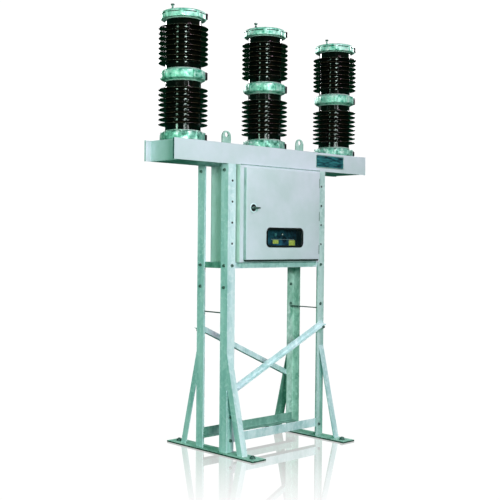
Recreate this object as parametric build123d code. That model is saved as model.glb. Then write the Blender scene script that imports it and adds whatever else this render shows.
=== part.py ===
from build123d import *
import os

# Outdoor substation circuit breaker, three phases on a bolted angle-iron stand.
# Millimetres. +X runs along the beam, +Y from front to back, +Z up.
# The origin is on the ground, midway between the four legs.

# Stand
frame_width = 1122.0          # over the leg heels, along the beam
frame_depth = 357.0           # over the leg heels, front to back
leg_top = 2262.0              # where the beam rests on the legs
leg_flange = 80.0
leg_thickness = 8.0
root_radius = 8.0             # inside corner of every rolled angle
leg_hole_radius = 7.0         # row of holes down the front flange of each leg
leg_hole_gauge = 45.0         # leg heel to the row
leg_hole_pitch = 163.0
leg_hole_count = 4
leg_hole_drop = 130.0         # top of the leg to the first hole

# Base plates, one under each pair of legs
plate_width = 140.0
plate_thickness = 12.0
plate_margin = 30.0           # plate edge to leg heel
anchor_radius = 13.0
anchor_end = 75.0             # anchor hole to the end of the plate

# Raking struts from the legs to the ends of the plates
strut_flange = 56.0
strut_thickness = 5.0
strut_foot_reach = 186.0      # leg face to strut heel, at the plate
strut_anchor_gap = 70.5       # strut heel to anchor hole
strut_top = 785.0

# Diagonal braces across the front and the back
brace_flange = 42.0
brace_thickness = 4.0
brace_low = 462.0             # heel heights at the leg centrelines
brace_high = 962.0
brace_end_margin = 8.0        # brace end to leg heel

# Rails between the legs
lower_rail_flange = 70.0
lower_rail_thickness = 6.0
lower_rail_bottom = 88.0
cabinet_rail_flange = 45.0
cabinet_rail_seat = 63.0      # level flange under the cabinet floor
cabinet_rail_thickness = 5.0
cabinet_rail_top = 1496.0
rail_end_clearance = 12.0     # rail end to the inside of a leg flange
side_rail_gap = 2.0
tie_height = 1097.0
tie_width = 40.0
tie_thickness = 6.0

# Beam: a folded channel with a cover underneath and a recessed pan at each end
beam_length = 2200.0
beam_height = 158.0
beam_sheet = 4.0
beam_bend = 7.0
end_recess = 60.0             # end of the sides to the end pan
end_hem = 17.0                # returned edge at the end of each side
end_pan_depth = 40.0
end_pan_corner = 5.0
nameplate_width = 360.0
nameplate_height = 112.0
nameplate_thickness = 2.0
nameplate_centre_x = 620.0
nameplate_bottom = 29.0       # above the underside of the beam

# Lifting lugs on the beam
lug_spacing = 848.0
lug_width = 92.0
lug_thickness = 14.0
lug_height = 119.0
lug_eye_radius = 20.0
lug_eye_height = 88.0

# Poles
pole_spacing = 872.0
porcelain_height = 378.0
core_radius = 135.5
porcelain_wall = 37.5
shed_reach = 52.5             # core to shed tip
shed_count = 8
shed_first = 58.0
shed_pitch = 37.4
shed_root = 17.0              # thickness of a shed at the core
shed_tip = 4.0
shed_droop = 7.0
flange_land = 22.5            # core to the round body of a casting
flange_bead = 6.0             # plain bead above and below a casting's belly
bead_step = 13.0              # belly to bead
lobe_circle = 150.0
lobe_radius = 27.0
lobe_count = 8
base_flange_height = 70.0
base_flange_foot = 54.0
base_neck_taper = 6.0
middle_flange_height = 86.0
belly_height = 50.0
lobe_height = 72.0
lobe_chamfer = 20.0
foot_lobe_chamfer = 14.0
cap_height = 75.0
cap_rim_height = 50.0
cap_lobe_height = 56.0
cap_lobe_underside = 10.0     # slope under each lobe of the cap
cap_shoulder_height = 62.0
cap_shoulder_inset = 18.0     # both insets from the round body of the casting
cap_crown_inset = 68.0
terminal_width = 90.0
terminal_height = 56.0
terminal_proud = 22.0         # face of the terminal pad ahead of the round body
stud_inset = 50.0
stud_radius = 8.0
stud_height = 34.0
stud_head_radius = 15.0
stud_head_height = 12.0
stud_seat = 5.0               # bottom of the stud below the shoulder

# Cabinet under the beam
cabinet_leg_gap = 19.0        # cabinet wall to leg toe
cabinet_proud = 29.5          # cabinet front ahead of the leg faces
cabinet_depth = 342.0
cabinet_sheet = 3.0

# Door
door_side_margin = 38.0       # door edge to cabinet wall
door_bottom_margin = 21.0     # door edge to the underside of the cabinet
door_top_margin = 23.0        # door edge to the underside of the beam
door_lap = 24.0               # door over the edge of the doorway
door_depth = 30.0
door_sheet = 2.0
door_corner = 4.0
door_gap = 2.0                # closed door to the cabinet front
window_width = 429.0
window_height = 160.0
window_corner = 40.0
window_centre_x = 12.0
window_rise = 178.0           # door edge to window centre
bezel_width = 18.0
bezel_lap = 7.0               # bezel over the edge of the opening
bezel_proud = 4.0
bezel_depth = 8.0
glass_thickness = 4.0
glass_clearance = 0.5

# Lock
lock_inset = 73.0             # door edge to lock axis
lock_rise = 408.0             # bottom of the door to lock axis
lock_plate_radius = 30.0
lock_plate_thickness = 6.0
lock_hub_radius = 13.0
lock_hub_length = 14.0
lock_bar_length = 84.0
lock_bar_offset = 15.0         # lock axis to the middle of the bar
lock_bar_width = 13.0
lock_bar_depth = 16.0
lock_shaft_radius = 8.0
lock_nut_radius = 14.0
lock_nut_length = 9.0
turning_clearance = 0.3

# Hinges on the right-hand edge of the door
hinge_inset = 83.0            # door end to the middle of the nearest hinge
hinge_barrel_radius = 8.0
hinge_pin_radius = 5.0
hinge_length = 78.0
hinge_leaf = 4.0
hinge_leaf_width = 24.0
hinge_offset_x = 11.0         # door edge to pin axis
hinge_offset_y = 14.0         # cabinet front to pin axis
knuckle_gap = 1.0

# Operating mechanism behind the window
mechanism_width = 500.0
mechanism_height = 400.0
mechanism_floor_gap = 41.0    # cabinet floor to the housing
mechanism_setback = 58.0      # cabinet front to the housing
mechanism_sheet = 3.0
dial_panel_width = 440.0
dial_panel_height = 190.0
dial_panel_thickness = 3.0
dial_radius = 15.0
dial_depth = 8.0
dial_side = -29.0             # window centre to the dial
dial_rise = 23.0

# Values that follow from the sizes above
half_width = frame_width / 2
half_depth = frame_depth / 2
beam_top = leg_top + beam_height
pole_positions = {"left": -pole_spacing, "middle": 0.0, "right": pole_spacing}
sides = {"left": -1, "right": 1}
faces = {"front": -1, "back": 1}
beam_core_length = beam_length - 2 * end_recess
bore_radius = core_radius - porcelain_wall
shed_radius = core_radius + shed_reach
flange_radius = core_radius + flange_land
terminal_face = flange_radius + terminal_proud
anchor_y = half_depth + strut_foot_reach + strut_anchor_gap
plate_length = 2 * (anchor_y + anchor_end)
cabinet_half = half_width - leg_flange - cabinet_leg_gap
cabinet_front = -half_depth - cabinet_proud
cabinet_back = cabinet_front + cabinet_depth
door_half = cabinet_half - door_side_margin
door_bottom = cabinet_rail_top + door_bottom_margin
door_top = leg_top - door_top_margin
door_front = cabinet_front - door_gap - door_depth
doorway_half = door_half - door_lap
doorway_bottom = door_bottom + door_lap
doorway_top = door_top - door_lap
window_centre_z = door_bottom + window_rise
lock_x = lock_inset - door_half
lock_z = door_bottom + lock_rise
hinge_x = door_half + hinge_offset_x
hinge_y = cabinet_front - hinge_offset_y
hinge_heights = (
    door_bottom + hinge_inset,
    (door_bottom + door_top) / 2,
    door_top - hinge_inset,
)
mechanism_bottom = cabinet_rail_top + cabinet_sheet + mechanism_floor_gap
mechanism_front = cabinet_front + mechanism_setback


def save(shape, name):
    """Write one sub-part."""
    export_step(shape, f"parts/{name}.step")


def block(x0, x1, y0, y1, z0, z1):
    """Rectangular solid between two corners."""
    size = Box(x1 - x0, y1 - y0, z1 - z0, align=(Align.MIN, Align.MIN, Align.MIN))
    return Pos(x0, y0, z0) * size


def angle_section(x_flange, y_flange, thickness):
    """Rolled angle with its heel at the local origin and its flanges on +x and +y."""
    outline = Polyline(
        (0, 0),
        (x_flange, 0),
        (x_flange, thickness),
        (thickness, thickness),
        (thickness, y_flange),
        (0, y_flange),
        close=True,
    )
    section = make_face(outline)
    inner = section.vertices().sort_by_distance((thickness, thickness))[0]
    return fillet(inner, root_radius)


def angle_bar(flange, thickness, start, end, first, second, second_flange=None):
    """Angle bar whose heel runs from start to end, with a flange along each direction."""
    axis = Vector(end) - Vector(start)
    x_flange, y_flange = flange, second_flange or flange
    if axis.cross(Vector(first)).dot(Vector(second)) < 0:
        first, second = second, first
        x_flange, y_flange = y_flange, x_flange
    plane = Plane(origin=start, x_dir=first, z_dir=axis)
    section = plane * angle_section(x_flange, y_flange, thickness)
    return extrude(section, axis.length, dir=axis.normalized())


def leg(side, face):
    """Corner post with its heel on the outside corner of the stand and a row of holes."""
    x = side * half_width
    y = face * half_depth
    bar = angle_bar(
        leg_flange,
        leg_thickness,
        (x, y, plate_thickness),
        (x, y, leg_top),
        (-side, 0, 0),
        (0, -face, 0),
    )
    hole = Rot(90, 0, 0) * Cylinder(leg_hole_radius, 2 * leg_thickness)
    for index in range(leg_hole_count):
        z = leg_top - leg_hole_drop - index * leg_hole_pitch
        bar -= Pos(x - side * leg_hole_gauge, y, z) * hole
    return bar


def base_plate(side):
    """Ground plate under the front and back legs of one side, with two anchor holes."""
    outer = half_width + plate_margin
    centre_x = side * (outer - plate_width / 2)
    plate = Box(plate_width, plate_length, plate_thickness, align=(Align.CENTER, Align.CENTER, Align.MIN))
    hole = Cylinder(anchor_radius, plate_thickness, align=(Align.CENTER, Align.CENTER, Align.MIN))
    for face in faces.values():
        plate -= Pos(0, face * anchor_y, 0) * hole
    return Pos(centre_x, 0, 0) * plate


def strut(side, face):
    """Raking strut, cut level on the plate and upright against the face of the leg."""
    x = side * half_width
    foot_y = face * (half_depth + strut_foot_reach)
    head_y = face * half_depth
    foot = Vector(x, foot_y, plate_thickness)
    head = Vector(x, head_y, strut_top)
    rake = (head - foot).normalized()
    inward = Vector(-side, 0, 0)
    toward_leg = Vector(0, -face, 0)
    toward_leg = (toward_leg - rake * toward_leg.dot(rake)).normalized()
    over = strut_flange
    bar = angle_bar(
        strut_flange,
        strut_thickness,
        foot - rake * over,
        head + rake * over,
        inward,
        toward_leg,
    )
    reach = strut_foot_reach + strut_flange
    y_limits = sorted((head_y, head_y + face * reach))
    room = block(-half_width - 1, half_width + 1, *y_limits, plate_thickness, strut_top + over)
    return bar & room


def brace(face):
    """Diagonal angle on the outer faces of one pair of legs, rising left to right at the front."""
    y = face * half_depth
    rise = -face
    run = half_width - brace_end_margin
    ends = {-rise: brace_low, rise: brace_high}
    start = Vector(-run, y, ends[-1])
    end = Vector(run, y, ends[1])
    axis = (end - start).normalized()
    upward = Vector(-axis.Z, 0, axis.X)
    return angle_bar(brace_flange, brace_thickness, start, end, upward, Vector(0, face, 0))


def lower_rail(face):
    """Rail near the ground, upright flange against the inside of the leg flanges."""
    y = face * (half_depth - leg_thickness)
    x = half_width - leg_thickness - rail_end_clearance
    return angle_bar(
        lower_rail_flange,
        lower_rail_thickness,
        (-x, y, lower_rail_bottom),
        (x, y, lower_rail_bottom),
        (0, 0, 1),
        (0, -face, 0),
    )


def cabinet_rail(face):
    """Rail that carries the cabinet floor on its level flange."""
    y = face * (half_depth - leg_thickness)
    x = half_width - leg_thickness - rail_end_clearance
    return angle_bar(
        cabinet_rail_flange,
        cabinet_rail_thickness,
        (-x, y, cabinet_rail_top),
        (x, y, cabinet_rail_top),
        (0, 0, -1),
        (0, -face, 0),
        cabinet_rail_seat,
    )


def side_rail(side):
    """Rail from front leg to back leg, its level flange coped round the cabinet rails."""
    x = side * (half_width - leg_thickness)
    y = half_depth - leg_thickness - rail_end_clearance
    bar = angle_bar(
        cabinet_rail_flange,
        cabinet_rail_thickness,
        (x, -y, cabinet_rail_top),
        (x, y, cabinet_rail_top),
        (0, 0, -1),
        (-side, 0, 0),
    )
    cope = half_depth - leg_thickness - cabinet_rail_seat - side_rail_gap
    x_limits = sorted((x - side * cabinet_rail_thickness, x - side * cabinet_rail_flange))
    for face in faces.values():
        y_limits = sorted((face * cope, face * y))
        bar -= block(*x_limits, *y_limits, cabinet_rail_top - cabinet_rail_flange, cabinet_rail_top)
    return bar


def side_tie(side):
    """Flat tie between the front and back legs."""
    y = half_depth - leg_thickness
    outer = half_width - leg_thickness - root_radius
    x_limits = sorted((side * outer, side * (outer - tie_width)))
    return block(*x_limits, -y, y, tie_height, tie_height + tie_thickness)


def beam_outline(inset):
    """Cross-section of the beam, drawn in from its outer face."""
    width = frame_depth - 2 * inset
    height = beam_height - 2 * inset
    outline = Pos(0, leg_top + beam_height / 2) * Rectangle(width, height)
    top = outline.vertices().group_by(Axis.Y)[-1]
    return fillet(top, beam_bend - inset)


def beam_channel():
    """Folded channel, open underneath, whose sides run on past its top and end in a hem."""
    plane = Plane.YZ.offset(-beam_core_length / 2)
    mouth = Pos(0, leg_top + beam_sheet / 2) * Rectangle(frame_depth - 2 * beam_sheet, beam_sheet)
    section = beam_outline(0) - beam_outline(beam_sheet) - mouth
    channel = extrude(plane * section, beam_core_length)
    for side in sides.values():
        end = side * beam_length / 2
        x_limits = sorted((side * beam_core_length / 2, end))
        hem_limits = sorted((end - side * beam_sheet, end))
        for face in faces.values():
            outer = face * half_depth
            wall_limits = sorted((outer, outer - face * beam_sheet))
            fold_limits = sorted((outer, outer - face * end_hem))
            channel += block(*x_limits, *wall_limits, leg_top, beam_top)
            channel += block(*hem_limits, *fold_limits, leg_top, beam_top)
    return channel


def beam_bottom_cover():
    """Flat cover between the sides of the channel."""
    x = beam_core_length / 2
    y = half_depth - beam_sheet
    return block(-x, x, -y, y, leg_top, leg_top + beam_sheet)


def end_pan_outline(inset):
    """Outline of an end pan inside the channel, drawn in from its edge."""
    width = frame_depth - 2 * (beam_sheet + inset)
    height = beam_height - 2 * (beam_sheet + inset)
    corner = end_pan_corner - inset
    return Pos(0, leg_top + beam_height / 2) * RectangleRounded(width, height, corner)


def beam_end_pan(side):
    """Pressed pan that closes one end of the beam, its rim turned inwards."""
    start = side * (beam_core_length / 2 - end_pan_depth)
    plane = Plane.YZ.offset(start)
    solid = extrude(plane * end_pan_outline(0), side * end_pan_depth)
    hollow = extrude(plane * end_pan_outline(beam_sheet), side * (end_pan_depth - beam_sheet))
    return solid - hollow


def nameplate():
    """Bare plate on the front of the beam."""
    x0 = nameplate_centre_x - nameplate_width / 2
    z0 = leg_top + nameplate_bottom
    return block(
        x0,
        x0 + nameplate_width,
        -half_depth - nameplate_thickness,
        -half_depth,
        z0,
        z0 + nameplate_height,
    )


def lifting_lug(side):
    """Upright plate with a rounded head and an eye, welded to the top of the beam."""
    head_radius = lug_width / 2
    shoulder = lug_height - head_radius
    plate = Pos(0, shoulder / 2) * Rectangle(lug_width, shoulder)
    plate += Pos(0, shoulder) * Circle(head_radius)
    plate -= Pos(0, lug_eye_height) * Circle(lug_eye_radius)
    foot = Pos(0, -head_radius) * Rectangle(2 * lug_width, 2 * head_radius)
    plate -= foot
    lug = extrude(Plane.XZ.offset(-lug_thickness / 2) * plate, lug_thickness)
    return Pos(side * lug_spacing / 2, 0, beam_top) * lug


def shed_points(height):
    """Outline of one drooping shed, from the core below it to the core above it."""
    tip_height = height - shed_droop
    return [
        (core_radius, height - shed_root / 2),
        (shed_radius, tip_height - shed_tip / 2),
        (shed_radius, tip_height + shed_tip / 2),
        (core_radius, height + shed_root / 2),
    ]


def porcelain(bottom):
    """Hollow shedded insulator."""
    points = [(bore_radius, 0), (core_radius, 0)]
    for shed in range(shed_count):
        points += shed_points(shed_first + shed * shed_pitch)
    points += [(core_radius, porcelain_height), (bore_radius, porcelain_height)]
    profile = make_face(Polyline(*points, close=True))
    return Pos(0, 0, bottom) * revolve(Plane.XZ * profile, Axis.Z)


def turned(*points):
    """Solid of revolution about the pole axis from an outline of radii and heights."""
    return revolve(Plane.XZ * make_face(Polyline(*points, close=True)), Axis.Z)


def bolt_lobes(bottom, height, lower_chamfer, upper_chamfer, skipped=()):
    """Ring of round bolt lobes, each sloped off below and above."""
    lobe = Pos(0, 0, bottom) * Cylinder(
        lobe_radius,
        height,
        align=(Align.CENTER, Align.CENTER, Align.MIN),
    )
    rings = lobe.edges().filter_by(GeomType.CIRCLE).sort_by(Axis.Z)
    if upper_chamfer:
        lobe = chamfer(rings[-1], upper_chamfer)
        rings = lobe.edges().filter_by(GeomType.CIRCLE).sort_by(Axis.Z)
    if lower_chamfer:
        lobe = chamfer(rings[0], lower_chamfer)
    angles = [360 * index / lobe_count for index in range(lobe_count)]
    return [Rot(0, 0, angle) * Pos(lobe_circle, 0, 0) * lobe for angle in angles if angle not in skipped]


def base_flange():
    """Cast foot of a pole, lobed where it is bolted to the beam, with a tapered neck."""
    rim_radius = flange_radius - bead_step
    neck_top = base_flange_height - flange_bead
    body = turned(
        (0, 0),
        (flange_radius, 0),
        (flange_radius, base_flange_foot),
        (flange_radius - base_neck_taper, neck_top),
        (rim_radius, neck_top),
        (rim_radius, base_flange_height),
        (0, base_flange_height),
    )
    for lobe in bolt_lobes(0, base_flange_foot, 0, foot_lobe_chamfer):
        body += lobe
    return body


def middle_flange():
    """Cast joint between the two porcelains, with the lower terminal pad at the front."""
    rim_radius = flange_radius - bead_step
    upper_bead = middle_flange_height - flange_bead
    belly_bottom = (middle_flange_height - belly_height) / 2
    belly_top = belly_bottom + belly_height
    lobe_bottom = (middle_flange_height - lobe_height) / 2
    body = turned(
        (0, 0),
        (rim_radius, 0),
        (rim_radius, flange_bead),
        (flange_radius, belly_bottom),
        (flange_radius, belly_top),
        (rim_radius, upper_bead),
        (rim_radius, middle_flange_height),
        (0, middle_flange_height),
    )
    for lobe in bolt_lobes(lobe_bottom, lobe_height, lobe_chamfer, lobe_chamfer, skipped=(270,)):
        body += lobe
    pad_bottom = (middle_flange_height - terminal_height) / 2
    half = terminal_width / 2
    body += block(-half, half, -terminal_face, 0, pad_bottom, pad_bottom + terminal_height)
    return body


def top_cap():
    """Cast cover of a pole: lobed rim, sloping crown and a stud with a round head."""
    body = turned(
        (0, 0),
        (flange_radius, 0),
        (flange_radius, cap_rim_height),
        (flange_radius - cap_shoulder_inset, cap_shoulder_height),
        (flange_radius - cap_crown_inset, cap_height),
        (0, cap_height),
    )
    for lobe in bolt_lobes(0, cap_lobe_height, cap_lobe_underside, lobe_chamfer):
        body += lobe
    stud_base = cap_shoulder_height - stud_seat
    stud_x = stud_inset - flange_radius
    stud_top = cap_height + stud_height
    stem = Cylinder(stud_radius, stud_top - stud_base, align=(Align.CENTER, Align.CENTER, Align.MIN))
    head = Cylinder(stud_head_radius, stud_head_height, align=(Align.CENTER, Align.CENTER, Align.MIN))
    body += Pos(stud_x, 0, stud_base) * stem
    body += Pos(stud_x, 0, stud_top - stud_head_height) * head
    return body


def cabinet_wall(side):
    """Side sheet with an inward return as far as the doorway."""
    outer = side * cabinet_half
    inner = outer - side * cabinet_sheet
    lip_end = side * doorway_half
    z0 = cabinet_rail_top + cabinet_sheet
    z1 = leg_top - cabinet_sheet
    sheet = block(*sorted((outer, inner)), cabinet_front, cabinet_back, z0, z1)
    lip = block(*sorted((outer, lip_end)), cabinet_front, cabinet_front + cabinet_sheet, z0, z1)
    return sheet + lip


def cabinet_level_sheet(z0, doorway_edge):
    """Floor or roof sheet of the cabinet with a return as far as the doorway."""
    half = cabinet_half
    sheet = block(-half, half, cabinet_front, cabinet_back, z0, z0 + cabinet_sheet)
    z1, z2 = sorted((z0, z0 + cabinet_sheet, doorway_edge))[::2]
    lip = block(-doorway_half, doorway_half, cabinet_front, cabinet_front + cabinet_sheet, z1, z2)
    return sheet + lip


def cabinet_back_sheet():
    """Back sheet between the walls, floor and roof."""
    half = cabinet_half - cabinet_sheet
    z0 = cabinet_rail_top + cabinet_sheet
    z1 = leg_top - cabinet_sheet
    return block(-half, half, cabinet_back - cabinet_sheet, cabinet_back, z0, z1)


def window_outline(inset):
    """Rounded rectangle of the window, drawn in from the edge of the bezel."""
    width = window_width - 2 * inset
    height = window_height - 2 * inset
    return Pos(window_centre_x, window_centre_z) * RectangleRounded(width, height, window_corner - inset)


def upright(sketch, front, depth):
    """Extrude an X-Z outline backwards from the given front plane."""
    plane = Plane(origin=(0, front, 0), x_dir=(1, 0, 0), z_dir=(0, -1, 0))
    return extrude(plane * sketch, -depth)


def door_pan():
    """Pressed door: front sheet with folded edges, a window opening and a lock hole."""
    centre_z = (door_bottom + door_top) / 2
    width = 2 * door_half
    height = door_top - door_bottom
    outer = Pos(0, centre_z) * RectangleRounded(width, height, door_corner)
    inner = Pos(0, centre_z) * Rectangle(width - 2 * door_sheet, height - 2 * door_sheet)
    pan = upright(outer, door_front, door_depth)
    pan -= upright(inner, door_front + door_sheet, door_depth)
    pan -= upright(window_outline(bezel_lap), door_front, door_sheet)
    lock_hole = Pos(lock_x, lock_z) * Circle(lock_shaft_radius + turning_clearance)
    return pan - upright(lock_hole, door_front, door_sheet)


def window_bezel():
    """Black frame of the window, lapped over the opening in the door."""
    clear = window_outline(bezel_width)
    face = upright(window_outline(0) - clear, door_front - bezel_proud, bezel_proud)
    neck = upright(window_outline(bezel_lap) - clear, door_front, bezel_depth)
    return face + neck


def window_glass():
    """Pane inside the bezel."""
    return upright(window_outline(bezel_width + glass_clearance), door_front, glass_thickness)


def lock_plate():
    """Round plate of the lock on the face of the door."""
    disc = Circle(lock_plate_radius) - Circle(lock_shaft_radius + turning_clearance)
    front = door_front - lock_plate_thickness
    return upright(Pos(lock_x, lock_z) * disc, front, lock_plate_thickness)


def lock_handle():
    """Turning handle: hub with a cross bar, a shaft through the door and a nut behind it."""
    here = Pos(lock_x, lock_z)
    plate_face = door_front - lock_plate_thickness - turning_clearance
    hub_face = plate_face - lock_hub_length
    bar_face = hub_face - lock_bar_depth / 2
    hub = upright(here * Circle(lock_hub_radius), hub_face, lock_hub_length)
    outline = Pos(lock_bar_offset, 0) * SlotOverall(lock_bar_length, lock_bar_width)
    bar = upright(here * outline, bar_face, lock_bar_depth)
    nut_front = door_front + door_sheet + turning_clearance
    shaft = upright(here * Circle(lock_shaft_radius), plate_face, nut_front - plate_face)
    nut = upright(here * RegularPolygon(lock_nut_radius, 6), nut_front, lock_nut_length)
    return hub + bar + shaft + nut


def hinge_third(index, radius):
    """One third of a hinge barrel, with the running gap taken off its top."""
    length = hinge_length / 3
    piece = Cylinder(radius, length - knuckle_gap, align=(Align.CENTER, Align.CENTER, Align.MIN))
    return Pos(hinge_x, hinge_y, index * length - hinge_length / 2) * piece


def fixed_hinge():
    """Cabinet half of a hinge: two knuckles and the pin on a leaf across the cabinet front."""
    leaf_face = cabinet_front - hinge_leaf
    web = hinge_leaf / 2
    pin = Cylinder(
        hinge_pin_radius,
        hinge_length - knuckle_gap,
        align=(Align.CENTER, Align.CENTER, Align.MIN),
    )
    body = Pos(hinge_x, hinge_y, -hinge_length / 2) * pin
    for index in (0, 2):
        z0 = index * hinge_length / 3 - hinge_length / 2
        z1 = z0 + hinge_length / 3 - knuckle_gap
        body += hinge_third(index, hinge_barrel_radius)
        body += block(hinge_x - web, hinge_x + web, hinge_y, leaf_face, z0, z1)
    body += block(
        hinge_x - web,
        hinge_x - web + hinge_leaf_width,
        leaf_face,
        cabinet_front,
        -hinge_length / 2,
        hinge_length / 2 - knuckle_gap,
    )
    return body


def door_hinge():
    """Door half of a hinge: the middle knuckle on a short leaf."""
    z0 = hinge_length / 6 - hinge_length / 3
    z1 = z0 + hinge_length / 3 - knuckle_gap
    arm = block(door_half, hinge_x, hinge_y - hinge_leaf / 2, hinge_y + hinge_leaf / 2, z0, z1)
    body = hinge_third(1, hinge_barrel_radius) + arm
    bore = Cylinder(hinge_pin_radius + turning_clearance, hinge_length)
    return body - Pos(hinge_x, hinge_y, 0) * bore


def at_hinges(shape):
    """Copies of a hinge half at every hinge height."""
    return Compound([Pos(0, 0, height) * shape for height in hinge_heights])


def mechanism_housing():
    """Sheet housing of the spring mechanism, its open back against the back sheet."""
    half = mechanism_width / 2
    front = mechanism_front
    back = cabinet_back - cabinet_sheet
    bottom = mechanism_bottom
    top = bottom + mechanism_height
    wall = mechanism_sheet
    solid = block(-half, half, front, back, bottom, top)
    room = block(wall - half, half - wall, front + wall, back, bottom + wall, top - wall)
    return solid - room


def dial_panel():
    """Panel with the round position indicator, on the front of the housing."""
    outline = Pos(window_centre_x, window_centre_z) * Rectangle(dial_panel_width, dial_panel_height)
    front = mechanism_front - dial_panel_thickness
    panel = upright(outline, front, dial_panel_thickness)
    place = Pos(window_centre_x + dial_side, window_centre_z + dial_rise)
    dial = upright(place * Circle(dial_radius), front - dial_depth, dial_depth)
    return panel + dial


os.makedirs("parts", exist_ok=True)

for side_name, side in sides.items():
    save(base_plate(side), f"base_plate_{side_name}")
    save(side_rail(side), f"side_rail_{side_name}")
    save(side_tie(side), f"side_tie_{side_name}")
    save(beam_end_pan(side), f"beam_end_pan_{side_name}")
    save(lifting_lug(side), f"lifting_lug_{side_name}")
    save(cabinet_wall(side), f"cabinet_wall_{side_name}")
    for face_name, face in faces.items():
        save(leg(side, face), f"leg_{face_name}_{side_name}")
        save(strut(side, face), f"strut_{face_name}_{side_name}")

for face_name, face in faces.items():
    save(brace(face), f"diagonal_brace_{face_name}")
    save(lower_rail(face), f"lower_rail_{face_name}")
    save(cabinet_rail(face), f"cabinet_rail_{face_name}")

save(beam_channel(), "beam_channel")
save(beam_bottom_cover(), "beam_bottom_cover")
save(nameplate(), "nameplate")

for pole_name, x in pole_positions.items():
    level = beam_top
    save(Pos(x, 0, level) * base_flange(), f"base_flange_{pole_name}")
    level += base_flange_height
    save(Pos(x, 0, 0) * porcelain(level), f"lower_porcelain_{pole_name}")
    level += porcelain_height
    save(Pos(x, 0, level) * middle_flange(), f"middle_flange_{pole_name}")
    level += middle_flange_height
    save(Pos(x, 0, 0) * porcelain(level), f"upper_porcelain_{pole_name}")
    level += porcelain_height
    save(Pos(x, 0, level) * top_cap(), f"top_cap_{pole_name}")

save(cabinet_level_sheet(cabinet_rail_top, doorway_bottom), "cabinet_floor")
save(cabinet_level_sheet(leg_top - cabinet_sheet, doorway_top), "cabinet_roof")
save(cabinet_back_sheet(), "cabinet_back")
save(mechanism_housing(), "mechanism_housing")
save(dial_panel(), "dial_panel")
save(door_pan(), "door_pan")
save(window_bezel(), "window_bezel")
save(window_glass(), "window_glass")
save(lock_plate(), "lock_plate")
save(lock_handle(), "lock_handle")
save(at_hinges(fixed_hinge()), "cabinet_hinges")
save(at_hinges(door_hinge()), "door_hinges")
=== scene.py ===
"""Outdoor high-voltage circuit breaker, dressed for view.

Three porcelain poles stand on a sheet-steel beam, and an angle-iron stand carries the beam over an
operating cabinet. The rigid model gives every place and size. This script gives each of its parts a
finish, rebuilds the cast, glazed and pressed parts with their real edges, and adds fasteners,
welds, seals and labels. Lengths inside the classes are millimetres.
"""

import sys
import logging
import math
from contextlib import contextmanager
from dataclasses import dataclass, field
from enum import Enum
from typing import Any, Callable, Iterator, Sequence

import bpy
from mathutils import Euler, Matrix, Vector


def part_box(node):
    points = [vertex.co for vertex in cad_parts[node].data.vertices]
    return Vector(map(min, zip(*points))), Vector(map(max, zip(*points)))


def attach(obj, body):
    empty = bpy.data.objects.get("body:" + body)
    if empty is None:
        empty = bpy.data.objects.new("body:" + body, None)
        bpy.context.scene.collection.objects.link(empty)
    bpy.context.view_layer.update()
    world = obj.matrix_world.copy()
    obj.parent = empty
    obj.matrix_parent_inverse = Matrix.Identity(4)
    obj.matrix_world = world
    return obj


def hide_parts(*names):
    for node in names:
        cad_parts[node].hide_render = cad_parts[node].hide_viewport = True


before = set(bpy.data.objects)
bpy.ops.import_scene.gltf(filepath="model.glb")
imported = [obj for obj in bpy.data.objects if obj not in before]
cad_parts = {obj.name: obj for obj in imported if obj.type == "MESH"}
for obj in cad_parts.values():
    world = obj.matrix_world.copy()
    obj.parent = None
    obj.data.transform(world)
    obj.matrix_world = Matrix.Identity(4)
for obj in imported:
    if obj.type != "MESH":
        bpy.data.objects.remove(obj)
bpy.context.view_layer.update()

MM = 0.001
ORIGIN = Vector((0, 0, 0))
UP, DOWN = Vector((0, 0, 1)), Vector((0, 0, -1))
FORWARD, BACKWARD = Vector((0, -1, 0)), Vector((0, 1, 0))
ALIGNED = 0.9  # Cosine above which two directions count as one.
TURNED_MERGE = 0.01  # Millimetres under which two points of a turned piece are one.
MODEL_MERGE = 0.02  # The same for two points of the rigid model.
COPLANAR = 0.5  # Degrees under which two faces of the rigid model are one.
ROLLED_CORNER = 50.0  # Degrees above which two faces of rolled steel meet in a worn edge.
MOULDED_CORNER = 60.0  # The same for a moulded edge.
TOOL_LENGTH = 40.0  # Length in millimetres of a round cutting tool.
CLEAR = 5.0  # How far in millimetres a cutting tool reaches past a face.

log = logging.getLogger("circuit_breaker")

Piece = bpy.types.Object
Outline = Sequence[tuple[float, float]]
Triple = tuple[float, float, float]
Patch = tuple[float, float, float, float]
Test = Callable[[Vector, Vector], bool]


class Side(Enum):
    """Ends of the beam, with their direction along X."""

    LEFT = -1
    RIGHT = 1


class Face(Enum):
    """Door side and back of the stand, with their direction along Y."""

    FRONT = -1
    BACK = 1


class Rider(Enum):
    """Bodies that a piece can move with."""

    FRAME = "frame"
    DOOR = "door"
    LOCK = "lock"


class Texture(Enum):
    """What a pattern is: clouds, or a draw for each crystal with the channel that it comes from."""

    CLOUDS = -1
    CRYSTAL_TONE = 0
    CRYSTAL_SHEEN = 1


# ---------------------------------------------------------------- finishes


def linear_colour(code: str) -> tuple[float, float, float, float]:
    """Turn an sRGB hex colour into linear light.

    Args:
        code: Colour such as "#8FC9BA".

    Returns:
        Red, green, blue and an alpha of one.
    """
    channels = [int(code[start:start + 2], 16) / 255 for start in (1, 3, 5)]
    linear = [c / 12.92 if c <= 0.04045 else ((c + 0.055) / 1.055) ** 2.4 for c in channels]
    return (*linear, 1.0)


def fill(tree: bpy.types.NodeTree, node: bpy.types.Node, sockets: dict[str | int, Any]) -> None:
    """Fill the inputs of a node.

    Args:
        tree: Node tree that holds the node.
        node: Node to fill.
        sockets: Value, or output socket to link, for each input by name or number.
    """
    for key, value in sockets.items():
        if isinstance(value, bpy.types.NodeSocket):
            tree.links.new(value, node.inputs[key])
        else:
            node.inputs[key].default_value = value


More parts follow.
